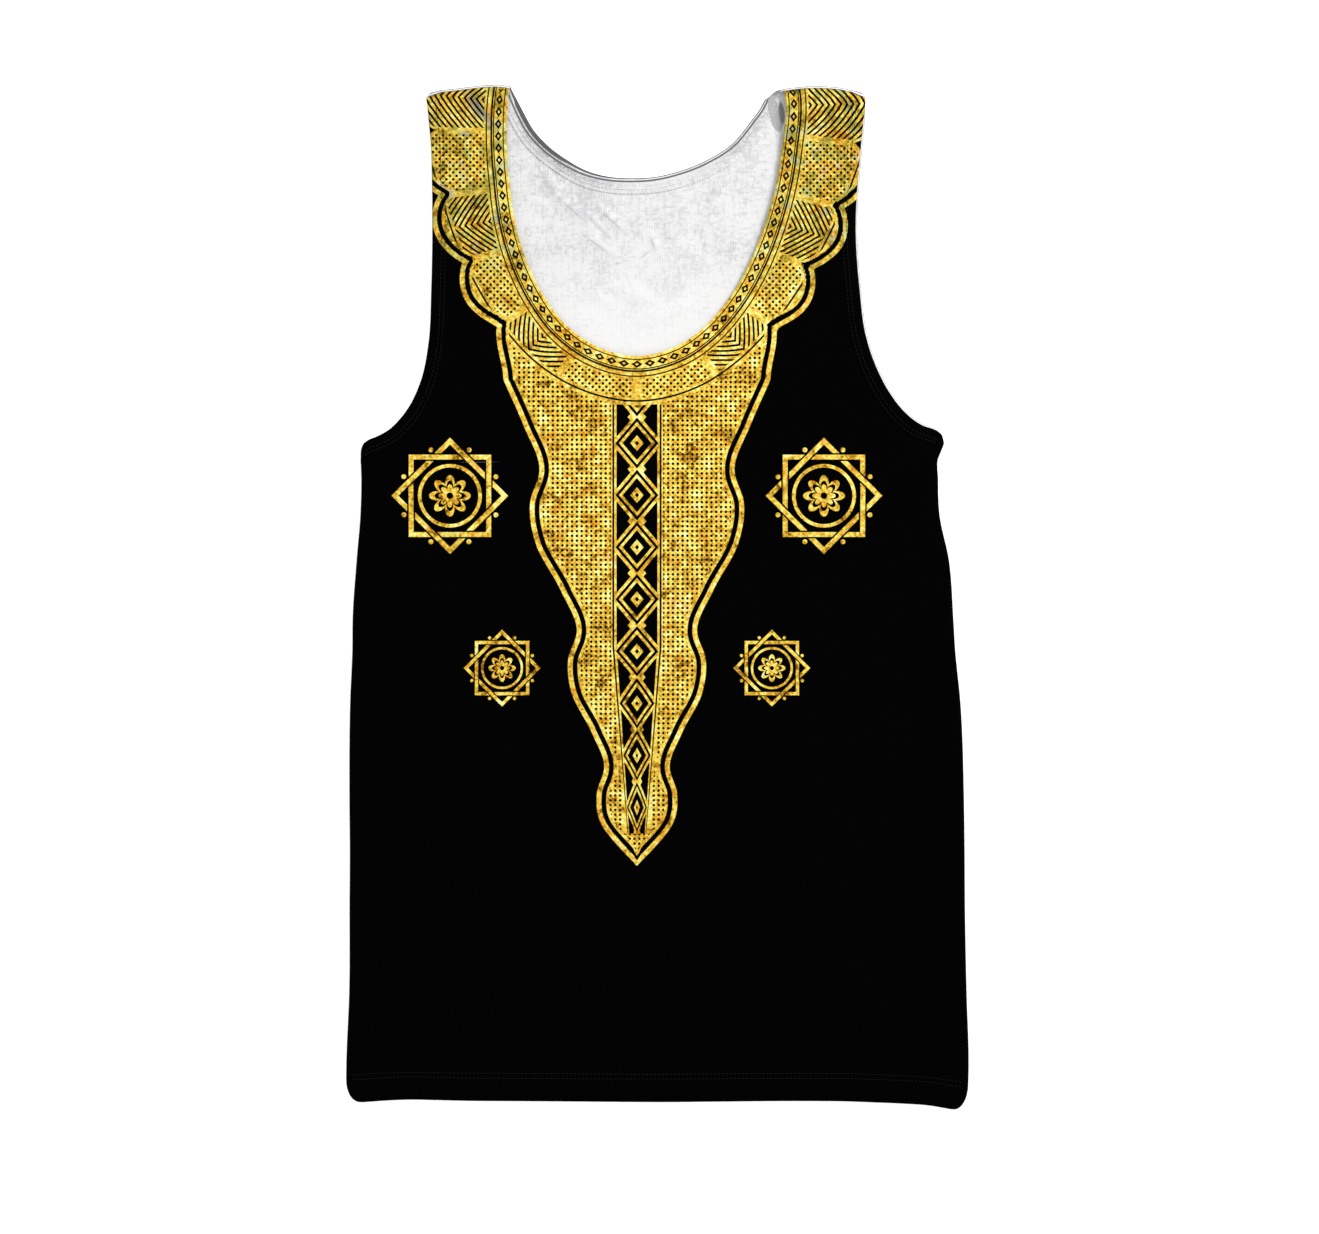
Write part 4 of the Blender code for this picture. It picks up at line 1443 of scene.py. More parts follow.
    def thread(self, name: str, colour: str) -> bpy.types.Material:
        """Spun polyester thread, with a soft gloss."""
        inputs = {"Roughness": self.thread_matt, "Specular_IOR_Level": self.white_gloss}
        return Nodes(name).finish(Base_Color=linear(colour), **inputs)


@dataclass
class Mesh:
    """Points and faces on their way to an object."""

    name: str
    points: Array
    quads: Array
    slots: Array | None = None
    values: dict[str, Array] = field(default_factory=dict)

    def volume(self) -> float:
        """The volume inside the faces, below 0 where they face inwards."""
        a, b, c, d = (self.points[self.quads[:, k]] for k in range(4))
        return float(((np.cross(a, b) * c).sum() + (np.cross(a, c) * d).sum()) / 6)

    def placed(self, placement: Placement) -> "Mesh":
        """The same in the frame's places."""
        return replace(self, points=placement.place(self.points))

    def turned_over(self) -> "Mesh":
        """The same with its faces turned over."""
        return replace(self, quads=self.quads[:, ::-1])

    def build(self, materials: list[bpy.types.Material], sharp: float = 50.0) -> bpy.types.Object:
        """Makes the object, smooth but for edges sharper than an angle.

        Args:
            materials: one for each slot that the faces name.
            sharp: the angle in degrees.

        Returns:
            The object, riding on the garment's body.
        """
        mesh = bpy.data.meshes.new(self.name)
        mesh.vertices.add(len(self.points))
        mesh.vertices.foreach_set("co", self.points.astype(np.float32).ravel())
        mesh.loops.add(self.quads.size)
        mesh.loops.foreach_set("vertex_index", self.quads.astype(np.int32).ravel())
        mesh.polygons.add(len(self.quads))
        starts = np.arange(0, self.quads.size, self.quads.shape[1], dtype=np.int32)
        mesh.polygons.foreach_set("loop_start", starts)
        if self.slots is not None:
            mesh.polygons.foreach_set("material_index", self.slots.astype(np.int32))
        mesh.update(calc_edges=True)
        for name, values in self.values.items():
            layer = mesh.attributes.new(name, "FLOAT", "POINT")
            layer.data.foreach_set("value", values.astype(np.float32))
        mesh.shade_smooth()
        mesh.set_sharp_from_angle(angle=math.radians(sharp))
        for material in materials:
            mesh.materials.append(material)
        thing = bpy.data.objects.new(self.name, mesh)
        bpy.context.scene.collection.objects.link(thing)
        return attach(thing, BODY)


def grid_quads(rows: int, columns: int, closed: bool = False) -> Array:
    """The faces of a grid of points, as four corners each; closed joins its last row and column to
    its first.

    Args:
        rows: how many rows of points.
        columns: how many columns.
        closed: whether the last row and column join the first.

    Returns:
        a row for each face.
    """
    index = np.arange(rows * columns).reshape(rows, columns)
    if closed:
        index = np.pad(index, ((0, 1), (0, 1)), mode="wrap")
    corners = [index[:-1, :-1], index[:-1, 1:], index[1:, 1:], index[1:, :-1]]
    return np.stack(corners, axis=-1).reshape(-1, 4)


class Shell:
    """A wall of cloth: grids of outer points, welded, with an inner face and a rim."""

    def __init__(self, name: str) -> None:
        """Starts an empty wall.

        Args:
            name: the wall's name.
        """
        self.name = name
        self.places: list[Array] = []
        self.quads: list[Array] = []
        self.bare: list[Array] = []

    def add(self, grid: Array, flip: bool, bare: Array | float = 0.0) -> None:
        """Adds a grid of outer points.

        Args:
            grid: rows x columns x 3.
            flip: turns its faces over.
            bare: how far the print has left each point, for each row or for all; it also places painted edge
                shading.
        """
        rows, columns = grid.shape[:2]
        quads = grid_quads(rows, columns) + sum(len(p) for p in self.places)
        self.quads.append(quads[:, ::-1] if flip else quads)
        self.places.append(grid.reshape(-1, 3))
        self.bare.append(np.broadcast_to(np.reshape(bare, (-1, 1)), (rows, columns)).reshape(-1))

    def weld(self, thick: Callable[[Array], Array], hem_depth: float) -> Mesh:
        """Welds the grids and gives the wall its inner face, each point moved in along its normal.

        Args:
            thick: a function of the outer points that gives the wall's thickness there.
            hem_depth: how far up the outer cloth is turned over the inner face.

        Returns:
            A closed mesh: the outer face, the rim and the turned hem in slot 0, the inner face in 1.
        """
        places, bare = np.concatenate(self.places), np.concatenate(self.bare)
        rounded = np.round(places, WELD_DIGITS)
        _, first, same = np.unique(rounded, axis=0, return_index=True, return_inverse=True)
        quads = same.reshape(-1)[np.concatenate(self.quads)]
        places, bare = places[first], bare[first]
        count = len(places)
        corners = [places[quads[:, k]] for k in range(4)]
        across = np.cross(corners[2] - corners[0], corners[3] - corners[1])
        normals = np.stack(
            [np.bincount(quads.ravel(), np.repeat(across[:, k], 4), count) for k in range(3)], axis=1
        )
        inner = places - unit(normals) * thick(places)[:, None]
        starts, ends = quads.ravel(), np.roll(quads, -1, axis=1).ravel()
        rim = ~np.isin(starts * count + ends, ends * count + starts)
        a, b = starts[rim], ends[rim]
        wall = np.stack([b, a, a + count, b + count], axis=1)
        faces = np.concatenate([quads, quads[:, ::-1] + count, wall])
        slots = np.zeros(len(faces))
        slots[len(quads) : 2 * len(quads)] = places[quads, 1].mean(axis=1) > hem_depth
        return Mesh(self.name, np.concatenate([places, inner]), faces, slots, {"bare": np.tile(bare, 2)})


@dataclass(frozen=True)
class Cut:
    """How finely a panel's wall is divided, and how thick its cloth is."""

    face: Face
    cloth: float = 0.0009
    hem: float = 0.0018
    fine: float = 0.0026
    coarse: float = 0.0052
    fine_across: float = 0.150
    fine_from: float = 0.165
    chest_from: float = 0.500
    half_width: float = 0.215
    arm_share: float = 0.22
    strap_coarser: float = 1.08
    seam_gap: float = 0.0002
    side_gap: float = 0.00006
    roll_angles: tuple[float, ...] = (15, 30, 45, 60, 75, 90)


FRONT_CUT = Cut(Face.FRONT)
BACK_CUT = Cut(Face.BACK, fine=0.0023, coarse=0.009, fine_across=0.110, fine_from=0.490, arm_share=0.70)


@dataclass(frozen=True)
class ClothPanel:
    """The front or the back: two halves, each one grid from the hem to the shoulder with its rolls."""

    outline: Outline
    lie: Lie
    placement: Placement
    ornament: Ornament
    cut: Cut

    # Rows of the doubled hem: close at its foot, where the corner is round, and at its sewing.
    HEM_ROWS: ClassVar[Array] = np.array(
        [0.0, 0.0002, 0.0008, 0.0018, 0.0032, 0.0050, 0.0074, 0.0104, 0.0140]
        + [0.0175, 0.0188, 0.0196, 0.0204, 0.0225]
    )

    @property
    def inset(self) -> float:
        """How far the panel's edge lies in from a bound edge."""
        return self.outline.binding_width + self.cut.seam_gap

    def columns(self) -> Array:
        """How a row is divided: fine steps near the centre line, then coarse ones.

        Returns:
            shares of its length.
        """
        half = self.cut.half_width
        fine = np.arange(0.0, self.cut.fine_across, self.cut.fine)
        rest = np.linspace(fine[-1], half, round((half - fine[-1]) / self.cut.coarse) + 1)[1:]
        return np.concatenate([fine, rest]) / half

    def ups(self, top: float) -> Array:
        """How far up the body's rows cross the centre line.

        Args:
            top: where the chest's rows begin.

        Returns:
            each row's height above the hem.
        """
        low = np.arange(self.HEM_ROWS[-1] + self.cut.coarse, self.cut.fine_from, self.cut.coarse)
        high = np.linspace(low[-1], top, round((top - low[-1]) / self.cut.fine) + 1)[1:]
        return np.concatenate([self.HEM_ROWS, low, high])

    def rolled(self, ridge: Array, outward: Array, degrees: float) -> Array:
        """A line on a roll, stopping a hair short of the other panel at its seam.

        Args:
            ridge: (across, up) of the roll's outermost line.
            outward: the level direction that the roll faces.
            degrees: how far round the roll from the panel's own side.

        Returns:
            its points (across, up, height).
        """
        angle = math.radians(degrees)
        turn = angle if self.cut.face is Face.FRONT else math.pi - angle
        places = self.lie.round_roll(ridge, outward, turn)[0]
        short = self.outline.roll + self.cut.face.up * self.cut.side_gap
        clip = np.maximum if self.cut.face is Face.FRONT else np.minimum
        places[:, 2] = clip(places[:, 2], short)
        return places

    def half(self, shell: Shell, side: Side) -> None:
        """Adds one half: rows run from the centre line or the neck seam out to the side or armhole.

        Args:
            shell: the wall that it is added to.
            side: which side.
        """
        outline, face = self.outline, self.cut.face
        neck_length = lengths_along(outline.neck_edge(face, side, MEASURE_STEPS))[-1]
        strap_rows = round(neck_length / (self.cut.fine * self.cut.strap_coarser))
        neck = outline.neck_inwards(face, side, strap_rows, self.inset)
        chest_from = self.cut.chest_from
        chest_rows = round((neck[0, 1] - chest_from) / self.cut.fine)
        low, high = (np.linspace(0.0, 1.0, count) for count in (chest_rows, strap_rows + 1))
        shares = np.concatenate([self.cut.arm_share * low, high[1:] + self.cut.arm_share * (1 - high[1:])])
        arm = outline.armhole_past_roll(face, side, shares, self.inset)
        top = float(outline.armhole_inwards(face, side, MEASURE_STEPS, self.inset)[0, 1])
        ups = self.ups(chest_from)
        foot = self.HEM_ROWS[-1]
        side_ups = np.where(ups > foot, foot + (ups - foot) * (top - foot) / (chest_from - foot), ups)
        ridge = np.stack([outline.side_fold(side_ups, side), side_ups], axis=1)
        roll_in = np.array([side.sign * outline.roll, 0.0])
        chest = np.linspace(chest_from, neck[0, 1], chest_rows + 1)[1:]
        centre_ups = np.concatenate([ups, chest])
        centre = np.stack([neck[0, 0] * centre_ups / neck[0, 1], centre_ups], axis=1)
        inner = np.concatenate([centre, neck[1:]])
        outer = np.concatenate([ridge - roll_in, arm])
        share = self.columns()[None, :, None]
        flat = inner[:, None] * (1 - share) + outer[:, None] * share
        flat[..., 1] += outline.hem_rise(flat)
        level = self.lie.front if face is Face.FRONT else self.lie.back
        heights = level(flat.reshape(-1, 2)).reshape(flat.shape[:2])
        grid = np.concatenate([flat, heights[..., None]], axis=2)
        rolls = []
        for degrees in self.cut.roll_angles:
            ends = outline.strap_ends(side, math.radians(degrees), face, self.inset)
            across = ends[0] + (ends[1] - ends[0]) * self.columns()
            line = np.stack([across, outline.shoulder_fold(across, side)], axis=1)
            rolls.append(self.rolled(line, SHOULDER_WAY, degrees))
        flip = (side is Side.LEFT) != (face is Face.BACK)
        # How far the print has left each row: none on the body, and on the rolls a share that also places
        # painted edge shading.
        bare = np.concatenate([np.zeros(len(grid)), worn(np.sin(np.radians(self.cut.roll_angles)))])
        shell.add(np.concatenate([grid, np.array(rolls)]), flip, bare)
        turns = []
        for degrees in self.cut.roll_angles:
            line = ridge.copy()
            line[:, 1] += outline.hem_rise(ridge - (1 - math.sin(math.radians(degrees))) * roll_in)
            turns.append(self.rolled(line, np.array([side.sign, 0.0]), degrees))
        body = np.stack([grid[: len(ridge), -1], *turns], axis=1)
        cap = body[-1] + (grid[len(ridge), -1] - body[-1, 0]) * self.lie.tip_fall([0, *self.cut.roll_angles])
        cap[1:, 2] = body[-1, 1:, 2]
        shell.add(np.concatenate([body, cap[None]]), flip)

    def thick(self, places: Array) -> Array:
        """The cloth's thickness, doubled at the hem."""
        share = 1 - ease((places[:, 1] - self.lie.hem_depth) / self.lie.hem_ease)
        return self.cut.cloth + (self.cut.hem - self.cut.cloth) * share

    def mesh(self, name: str) -> Mesh:
        """The whole wall.

        Args:
            name: the piece's name.

        Returns:
            The mesh, in the garment's own places.
        """
        shell = Shell(name)
        for side in Side:
            self.half(shell, side)
        return shell.weld(self.thick, self.lie.hem_depth)

    def dress(self, outer: bpy.types.Material, inner: bpy.types.Material) -> bpy.types.Object:
        """Makes the panel's piece, a sheet that lies on the back or on the floor.

        Args:
            outer: the cloth's outer face.
            inner: its inner face.

        Returns:
            The piece, which replaces the panel's solid.
        """
        face = self.cut.face
        mesh = self.mesh(f"{face.value}_cloth")
        if face is Face.FRONT:
            mesh.values.update(self.ornament.values(mesh.points[:, :2]))
        piece = mesh.placed(self.placement).build([outer, inner])
        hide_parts(f"{face.value}_panel")
        area = self.outline.flat_area(face)
        return piece


@dataclass(frozen=True)
class Section:
    """A doubled strip's cross-section: columns of reach from the edge and of height, in millimetres.

    Both have the same corners in the same order: the outer side from the seam to the edge, round it,
    and back along the inner side. The front's outer side laps over the panel, and on the back the
    inner side does, since the outer side lies on the floor.
    """

    FRONT: ClassVar[Table] = Table(
        "reach height",
        (12.20, 0.05), (12.20, 0.14), (11.80, 0.27), (11.00, 0.38), (8.30, 0.46),
        (5.50, 0.48), (3.00, 0.44), (1.20, 0.28), (0.35, -0.05), (0.00, -0.55),
        (0.35, -1.05), (1.20, -1.28), (3.00, -1.38), (5.50, -1.40), (8.30, -1.40),
        (10.70, -1.40), (10.76, -1.30), (10.80, -1.20), (10.80, -1.10), (10.80, -0.60),
        (10.90, 0.00),
    )
    BACK: ClassVar[Table] = Table(
        "reach height",
        (10.80, -0.20), (10.80, -0.10), (10.80, -0.04), (10.75, 0.00), (8.30, 0.00),
        (5.50, 0.00), (3.00, 0.00), (1.20, -0.05), (0.35, -0.30), (0.00, -0.75),
        (0.35, -1.20), (1.20, -1.46), (3.00, -1.60), (5.50, -1.64), (8.30, -1.60),
        (11.00, -1.46), (11.80, -1.34), (12.30, -1.16), (12.30, -0.97), (10.95, -0.94),
        (10.80, -0.50),
    )

    def between(self, shares: Array) -> Array:
        """The section in metres for shares from the front's (0) to the back's (1)."""
        front, back = (table.line("reach", "height") for table in (self.FRONT, self.BACK))
        return (front + (back - front) * np.reshape(shares, (-1, 1, 1))) / 1000

    @property
    def beyond(self) -> Array:
        """How far along the section each corner lies beyond the edge: outer side below 0, inner above."""
        reach = self.FRONT["reach"] / 1000
        return np.where(np.arange(len(reach)) < int(np.argmin(reach)), -reach, reach)


@dataclass
class Ring:
    """One binding: a section carried round its opening, closed on itself."""

    name: str
    outline: Outline
    lie: Lie
    section: Section = Section()
    places: list[Array] = field(default_factory=list)
    shares: list[float] = field(default_factory=list)
    tops: list[float] = field(default_factory=list)

    # The bare attribute, which also places painted edge shading: what it is where the outer cloth ends past
    # the edge and how soon it rises there, on an inner side painted grey as edge shading, on one that isn't,
    # and by how much less a shoulder's top has.
    bare_end: float = 0.47
    bare_ease: float = 0.003
    bare_painted_grey: float = 0.35
    bare_not: float = -1.0
    painted_grey_from: float = 0.0002
    top_share: float = 0.999
    top_less: float = 0.001

    def flat(self, edges: Array, seams: Array, face: Face) -> None:
        """Adds stations along a stretch on a panel.

        Args:
            edges: (across, up) of the finished edge.
            seams: (across, up) of the seam, with a row for each of edges.
            face: the panel.
        """
        share = 0.0 if face is Face.FRONT else 1.0
        reach, height = np.moveaxis(self.section.between(np.full(len(edges), share)), 2, 0)
        part = (reach / self.outline.binding_width)[..., None]
        flat = edges[:, None] * (1 - part) + seams[:, None] * part
        level = self.lie.front if face is Face.FRONT else self.lie.back
        rise = level(flat.reshape(-1, 2)).reshape(reach.shape)
        self.places += list(np.concatenate([flat, (rise + face.up * height)[..., None]], axis=2))
        self.shares += [share] * len(edges)
        self.tops += [0.0] * len(edges)

    def roll(
        self, at: Callable[[float], tuple[Array, Array]], outward: Array, angles: Array, top: bool
    ) -> None:
        """Adds stations round a roll.

        Args:
            at: gives the ridge's points at the edge and at the seam for an angle.
            outward: the level direction that the roll faces.
            angles: from 0 at the front to pi at the back.
            top: whether the print has worn off the roll's ridge, which also places painted edge shading
                there.
        """
        for angle in angles:
            share = angle / math.pi
            reach, height = self.section.between(np.array([share]))[0].T
            part = (reach / self.outline.binding_width)[:, None]
            edge, seam = at(angle)
            places, ways = self.lie.round_roll(edge * (1 - part) + seam * part, outward, angle)
            self.places.append(places + ways * height[:, None])
            self.shares.append(share)
            self.tops.append(float(worn(math.sin(angle))) if top else 0.0)

    def line(self, reach: float, face: Face) -> Array:
        """The points at a reach from the edge on the side that shows: the front's outer side, or the
        back's inner one.

        Args:
            reach: how far from the edge.
            face: which panel.

        Returns:
            a point for each of the panel's stations.
        """
        table = self.section.FRONT if face is Face.FRONT else self.section.BACK
        tip = int(np.argmin(table["reach"]))
        side = np.arange(tip, 0, -1) if face is Face.FRONT else np.arange(tip, tip + 9)
        place = np.interp(reach * 1000, table["reach"][side], np.arange(len(side)))
        low, share = side[int(place)], place % 1.0
        high = side[int(place) + 1]
        grid = np.array(self.places)[np.array(self.shares) == (0.0 if face is Face.FRONT else 1.0)]
        return grid[:, low] * (1 - share) + grid[:, high] * share

    def mesh(self, turn: Array, grey: bool) -> Mesh:
        """Joins the stations.

        Args:
            turn: how far over the edge the outer cloth shows on the inner side at each station.
            grey: whether the turned edge is painted grey as edge shading.

        Returns:
            A closed mesh with the bare attribute, which also places painted edge shading.
        """
        grid = np.array(self.places)
        beyond = self.section.beyond
        bare = self.bare_end + (beyond[None, :] - turn[:, None]) / self.bare_ease
        # Painted grey edge shading on the inner side, where the strip says so.
        least = np.where(grey & (beyond > self.painted_grey_from), self.bare_painted_grey, self.bare_not)
        bare = np.maximum(bare, least[None, :])
        top = np.array(self.tops)[:, None] * self.top_share - self.top_less
        bare = np.where(beyond[None, :] <= 0.0, top, bare)
        quads = grid_quads(*grid.shape[:2], closed=True)
        mesh = Mesh(self.name, grid.reshape(-1, 3), quads, np.zeros(len(quads)), {"bare": bare.ravel()})
        return mesh if mesh.volume() > 0 else mesh.turned_over()


@dataclass(frozen=True)
class Bindings:
    """The strips that bind the neck and the armholes."""

    outline: Outline
    lie: Lie
    placement: Placement
    ornament: Ornament
    step: float = 0.0015
    roll_steps: int = 12

    # How far the outer cloth shows past the edge at the front and on the right armhole's back, painted grey
    # there as edge shading. The left armhole's strip is dyed through, so there it shows past its whole width.
    front_turn: float = 0.0006
    back_turn: float = 0.0003
    dyed_turn: float = 0.03

    # Round a roll, the share where the back's turn begins and over how much it grows.
    turn_from: float = 0.3
    turn_over: float = 0.4

    # The painted shade in speckles on the back neck's strip: the share it starts at, its middle and half
    # width.
    speckled_shade_from: float = 0.9
    speckled_shade_middle: float = 0.0056
    speckled_shade_half: float = 0.0042

    # How far the back neck's outer cloth shows past its edge, painted grey there as edge shading, and how
    # much painted shade greys the strip's inside.
    TURN: ClassVar[Table] = Table(
        "across turn grey",
        (-0.0960, 0.0012, 0.10), (-0.0900, 0.0028, 0.30), (-0.0720, 0.0034, 0.75),
        (-0.0520, 0.0028, 0.80), (-0.0330, 0.0016, 0.55), (0.0000, 0.0009, 0.12),
        (0.0500, 0.0007, 0.22), (0.0750, 0.0007, 0.45), (0.1060, 0.0007, 0.35),
    )

    def steps(self, line: Array) -> int:
        """How many steps a line is divided into."""
        return round(lengths_along(line)[-1] / self.step)

    def over_shoulder(self, side: Side, end: int) -> Callable[[float], tuple[Array, Array]]:
        """A function that gives the ridge's points at one end of a strap.

        Args:
            side: which side.
            end: 0 for the neck end and 1 for the armhole end.

        Returns:
            the function.
        """

        def at(angle: float) -> tuple[Array, Array]:
            """The ridge's points.

            Args:
                angle: how far round the roll.

            Returns:
                The points at the edge and at the seam.
            """
            face = Face.FRONT if angle <= math.pi / 2 else Face.BACK
            turn = angle if face is Face.FRONT else math.pi - angle
            widths = (0.0, self.outline.binding_width)
            across = [self.outline.strap_ends(side, turn, face, width)[end] for width in widths]
            return tuple(np.array([a, float(self.outline.shoulder_fold(a, side))]) for a in across)

        return at

    def neck(self) -> tuple[Ring, Array]:
        """The ring round the neck.

        Returns:
            The ring, and how far round it from the lowest point each station lies.
        """
        outline = self.outline
        ring = Ring("neck_band", outline, self.lie)
        angles = np.linspace(0.0, math.pi, self.roll_steps + 1)[1:-1]
        lines = {}
        for face in Face:
            for side in Side:
                count = self.steps(outline.neck_edge(face, side, MEASURE_STEPS))
                seam = outline.neck_inwards(face, side, count, outline.binding_width)
                lines[face, side] = outline.neck_edge(face, side, count), seam
        for side, face, way in (
            (Side.LEFT, Face.FRONT, -1),
            (Side.RIGHT, Face.FRONT, 1),
            (Side.RIGHT, Face.BACK, -1),
            (Side.LEFT, Face.BACK, 1),
        ):
            edge, seam = (line[::way] for line in lines[face, side])
            start = 1 if way == 1 else 0
            ring.flat(edge[start:], seam[start:], face)
            if way == 1:
                over = angles if face is Face.FRONT else angles[::-1]
                ring.roll(self.over_shoulder(side, 0), SHOULDER_WAY, over, True)
        middle = np.array(ring.places)[:, int(np.argmin(ring.section.FRONT["reach"]))]
        run = lengths_along(middle)
        lowest = len(lines[Face.FRONT, Side.LEFT][0]) - 1
        return ring, run - run[lowest]

    def neck_mesh(self, ring: Ring, run: Array) -> Mesh:
        """The neck's strip, with what its print reads: it is printed up to the shoulders' folds.

        Args:
            ring: the ring.
            run: how far round it each station lies.

        Returns:
            The mesh.
        """
        corners = len(ring.section.beyond)
        edge = np.array(ring.places)[:, int(np.argmin(ring.section.FRONT["reach"]))]
        share = np.array(ring.shares)
        behind = smooth(edge[:, 0], self.TURN["across"], self.TURN["turn"])
        gain = ease((share - self.turn_from) / self.turn_over)
        mesh = ring.mesh(self.front_turn + (behind - self.front_turn) * gain, True)
        reach = ring.section.between(share)[..., 0]
        mesh.values["neck_off"] = reach.ravel()
        mesh.values["neck_run"] = run.repeat(corners)
        printed = np.where(share < 0.5, self.ornament.deep, -self.ornament.deep)
        mesh.values["print_in"] = printed.repeat(corners)
        # Painted shade in speckles on the inside of the back neck's strip.
        grey = smooth(edge[:, 0], self.TURN["across"], self.TURN["grey"]) * (share > self.speckled_shade_from)
        middle = 1 - np.clip(np.abs(reach - self.speckled_shade_middle) / self.speckled_shade_half, 0.0, 1.0) ** 2
        mesh.values["speckled_shade"] = (grey[:, None] * middle * (ring.section.beyond > 0)).ravel()
        return mesh

    def armhole(self, side: Side) -> Ring:
        """The ring round one armhole.

        Args:
            side: the side of the garment.

        Returns:
            The ring.
        """
        ring = Ring(f"armhole_band_{side.value}", self.outline, self.lie)
        width = self.outline.binding_width
        angles = np.linspace(0.0, math.pi, self.roll_steps + 1)[1:-1]
        ends = {}
        for face, way in ((Face.FRONT, 1), (Face.BACK, -1)):
            whole = self.outline.armhole_edge(face, side, MEASURE_STEPS)
            count = self.steps(whole)
            shares = np.linspace(0.0, 1.0, count + 1)
            edge, seam = (self.outline.armhole_past_roll(face, side, shares, w) for w in (0.0, width))
            tip = self.outline.armhole_inwards(face, side, MEASURE_STEPS, width)[0]
            ends[face] = whole[0], tip, edge[0], seam[0]
            ring.flat(edge[::way], seam[::way], face)
            if face is Face.FRONT:
                ring.roll(self.over_shoulder(side, 1), SHOULDER_WAY, angles, True)
        inset = np.array([side.sign * self.outline.roll, 0.0])

        def at(angle: float) -> tuple[Array, Array]:
            """The side fold's points, which fall to the tip as the cloth turns.

            Args:
                angle: how far round the roll.

            Returns:
                The points at the edge and at the seam.
            """
            tip_edge, tip_seam, edge, seam = ends[Face.FRONT if angle < math.pi / 2 else Face.BACK]
            left = self.lie.tip_fall([math.degrees(angle)])[0, :2]
            return tip_edge + left * (edge + inset - tip_edge), tip_seam + left * (seam + inset - tip_seam)

        ring.roll(at, np.array([side.sign, 0.0]), angles[::-1], False)
        return ring

    def armhole_mesh(self, ring: Ring, side: Side) -> Mesh:
        """An armhole's strip, with what its print reads. The right one's inner side is painted grey near its
        edge, as edge shading.

        Args:
            ring: the ring.
            side: the side of the garment.

        Returns:
            The mesh.
        """
        behind = np.array(ring.shares) > 0.5
        turn = np.full(len(behind), self.dyed_turn)
        if side is Side.RIGHT:
            turn = np.where(behind, self.back_turn, self.front_turn)
        mesh = ring.mesh(turn, side is Side.RIGHT)
        front = ~behind.repeat(len(ring.section.beyond))
        mesh.values.update(self.ornament.values(mesh.points[:, :2], front))
        return mesh

    def dress(self, mesh: Mesh, node: str, slot: str, cloth: bpy.types.Material) -> bpy.types.Object:
        """Makes a strip's piece.

        Args:
            mesh: the strip.
            node: the solid that it replaces.
            slot: the solid's material slot; not used.
            cloth: the strip's material.

        Returns:
            The piece.
        """
        piece = mesh.placed(self.placement).build([cloth])
        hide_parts(node)
        return piece


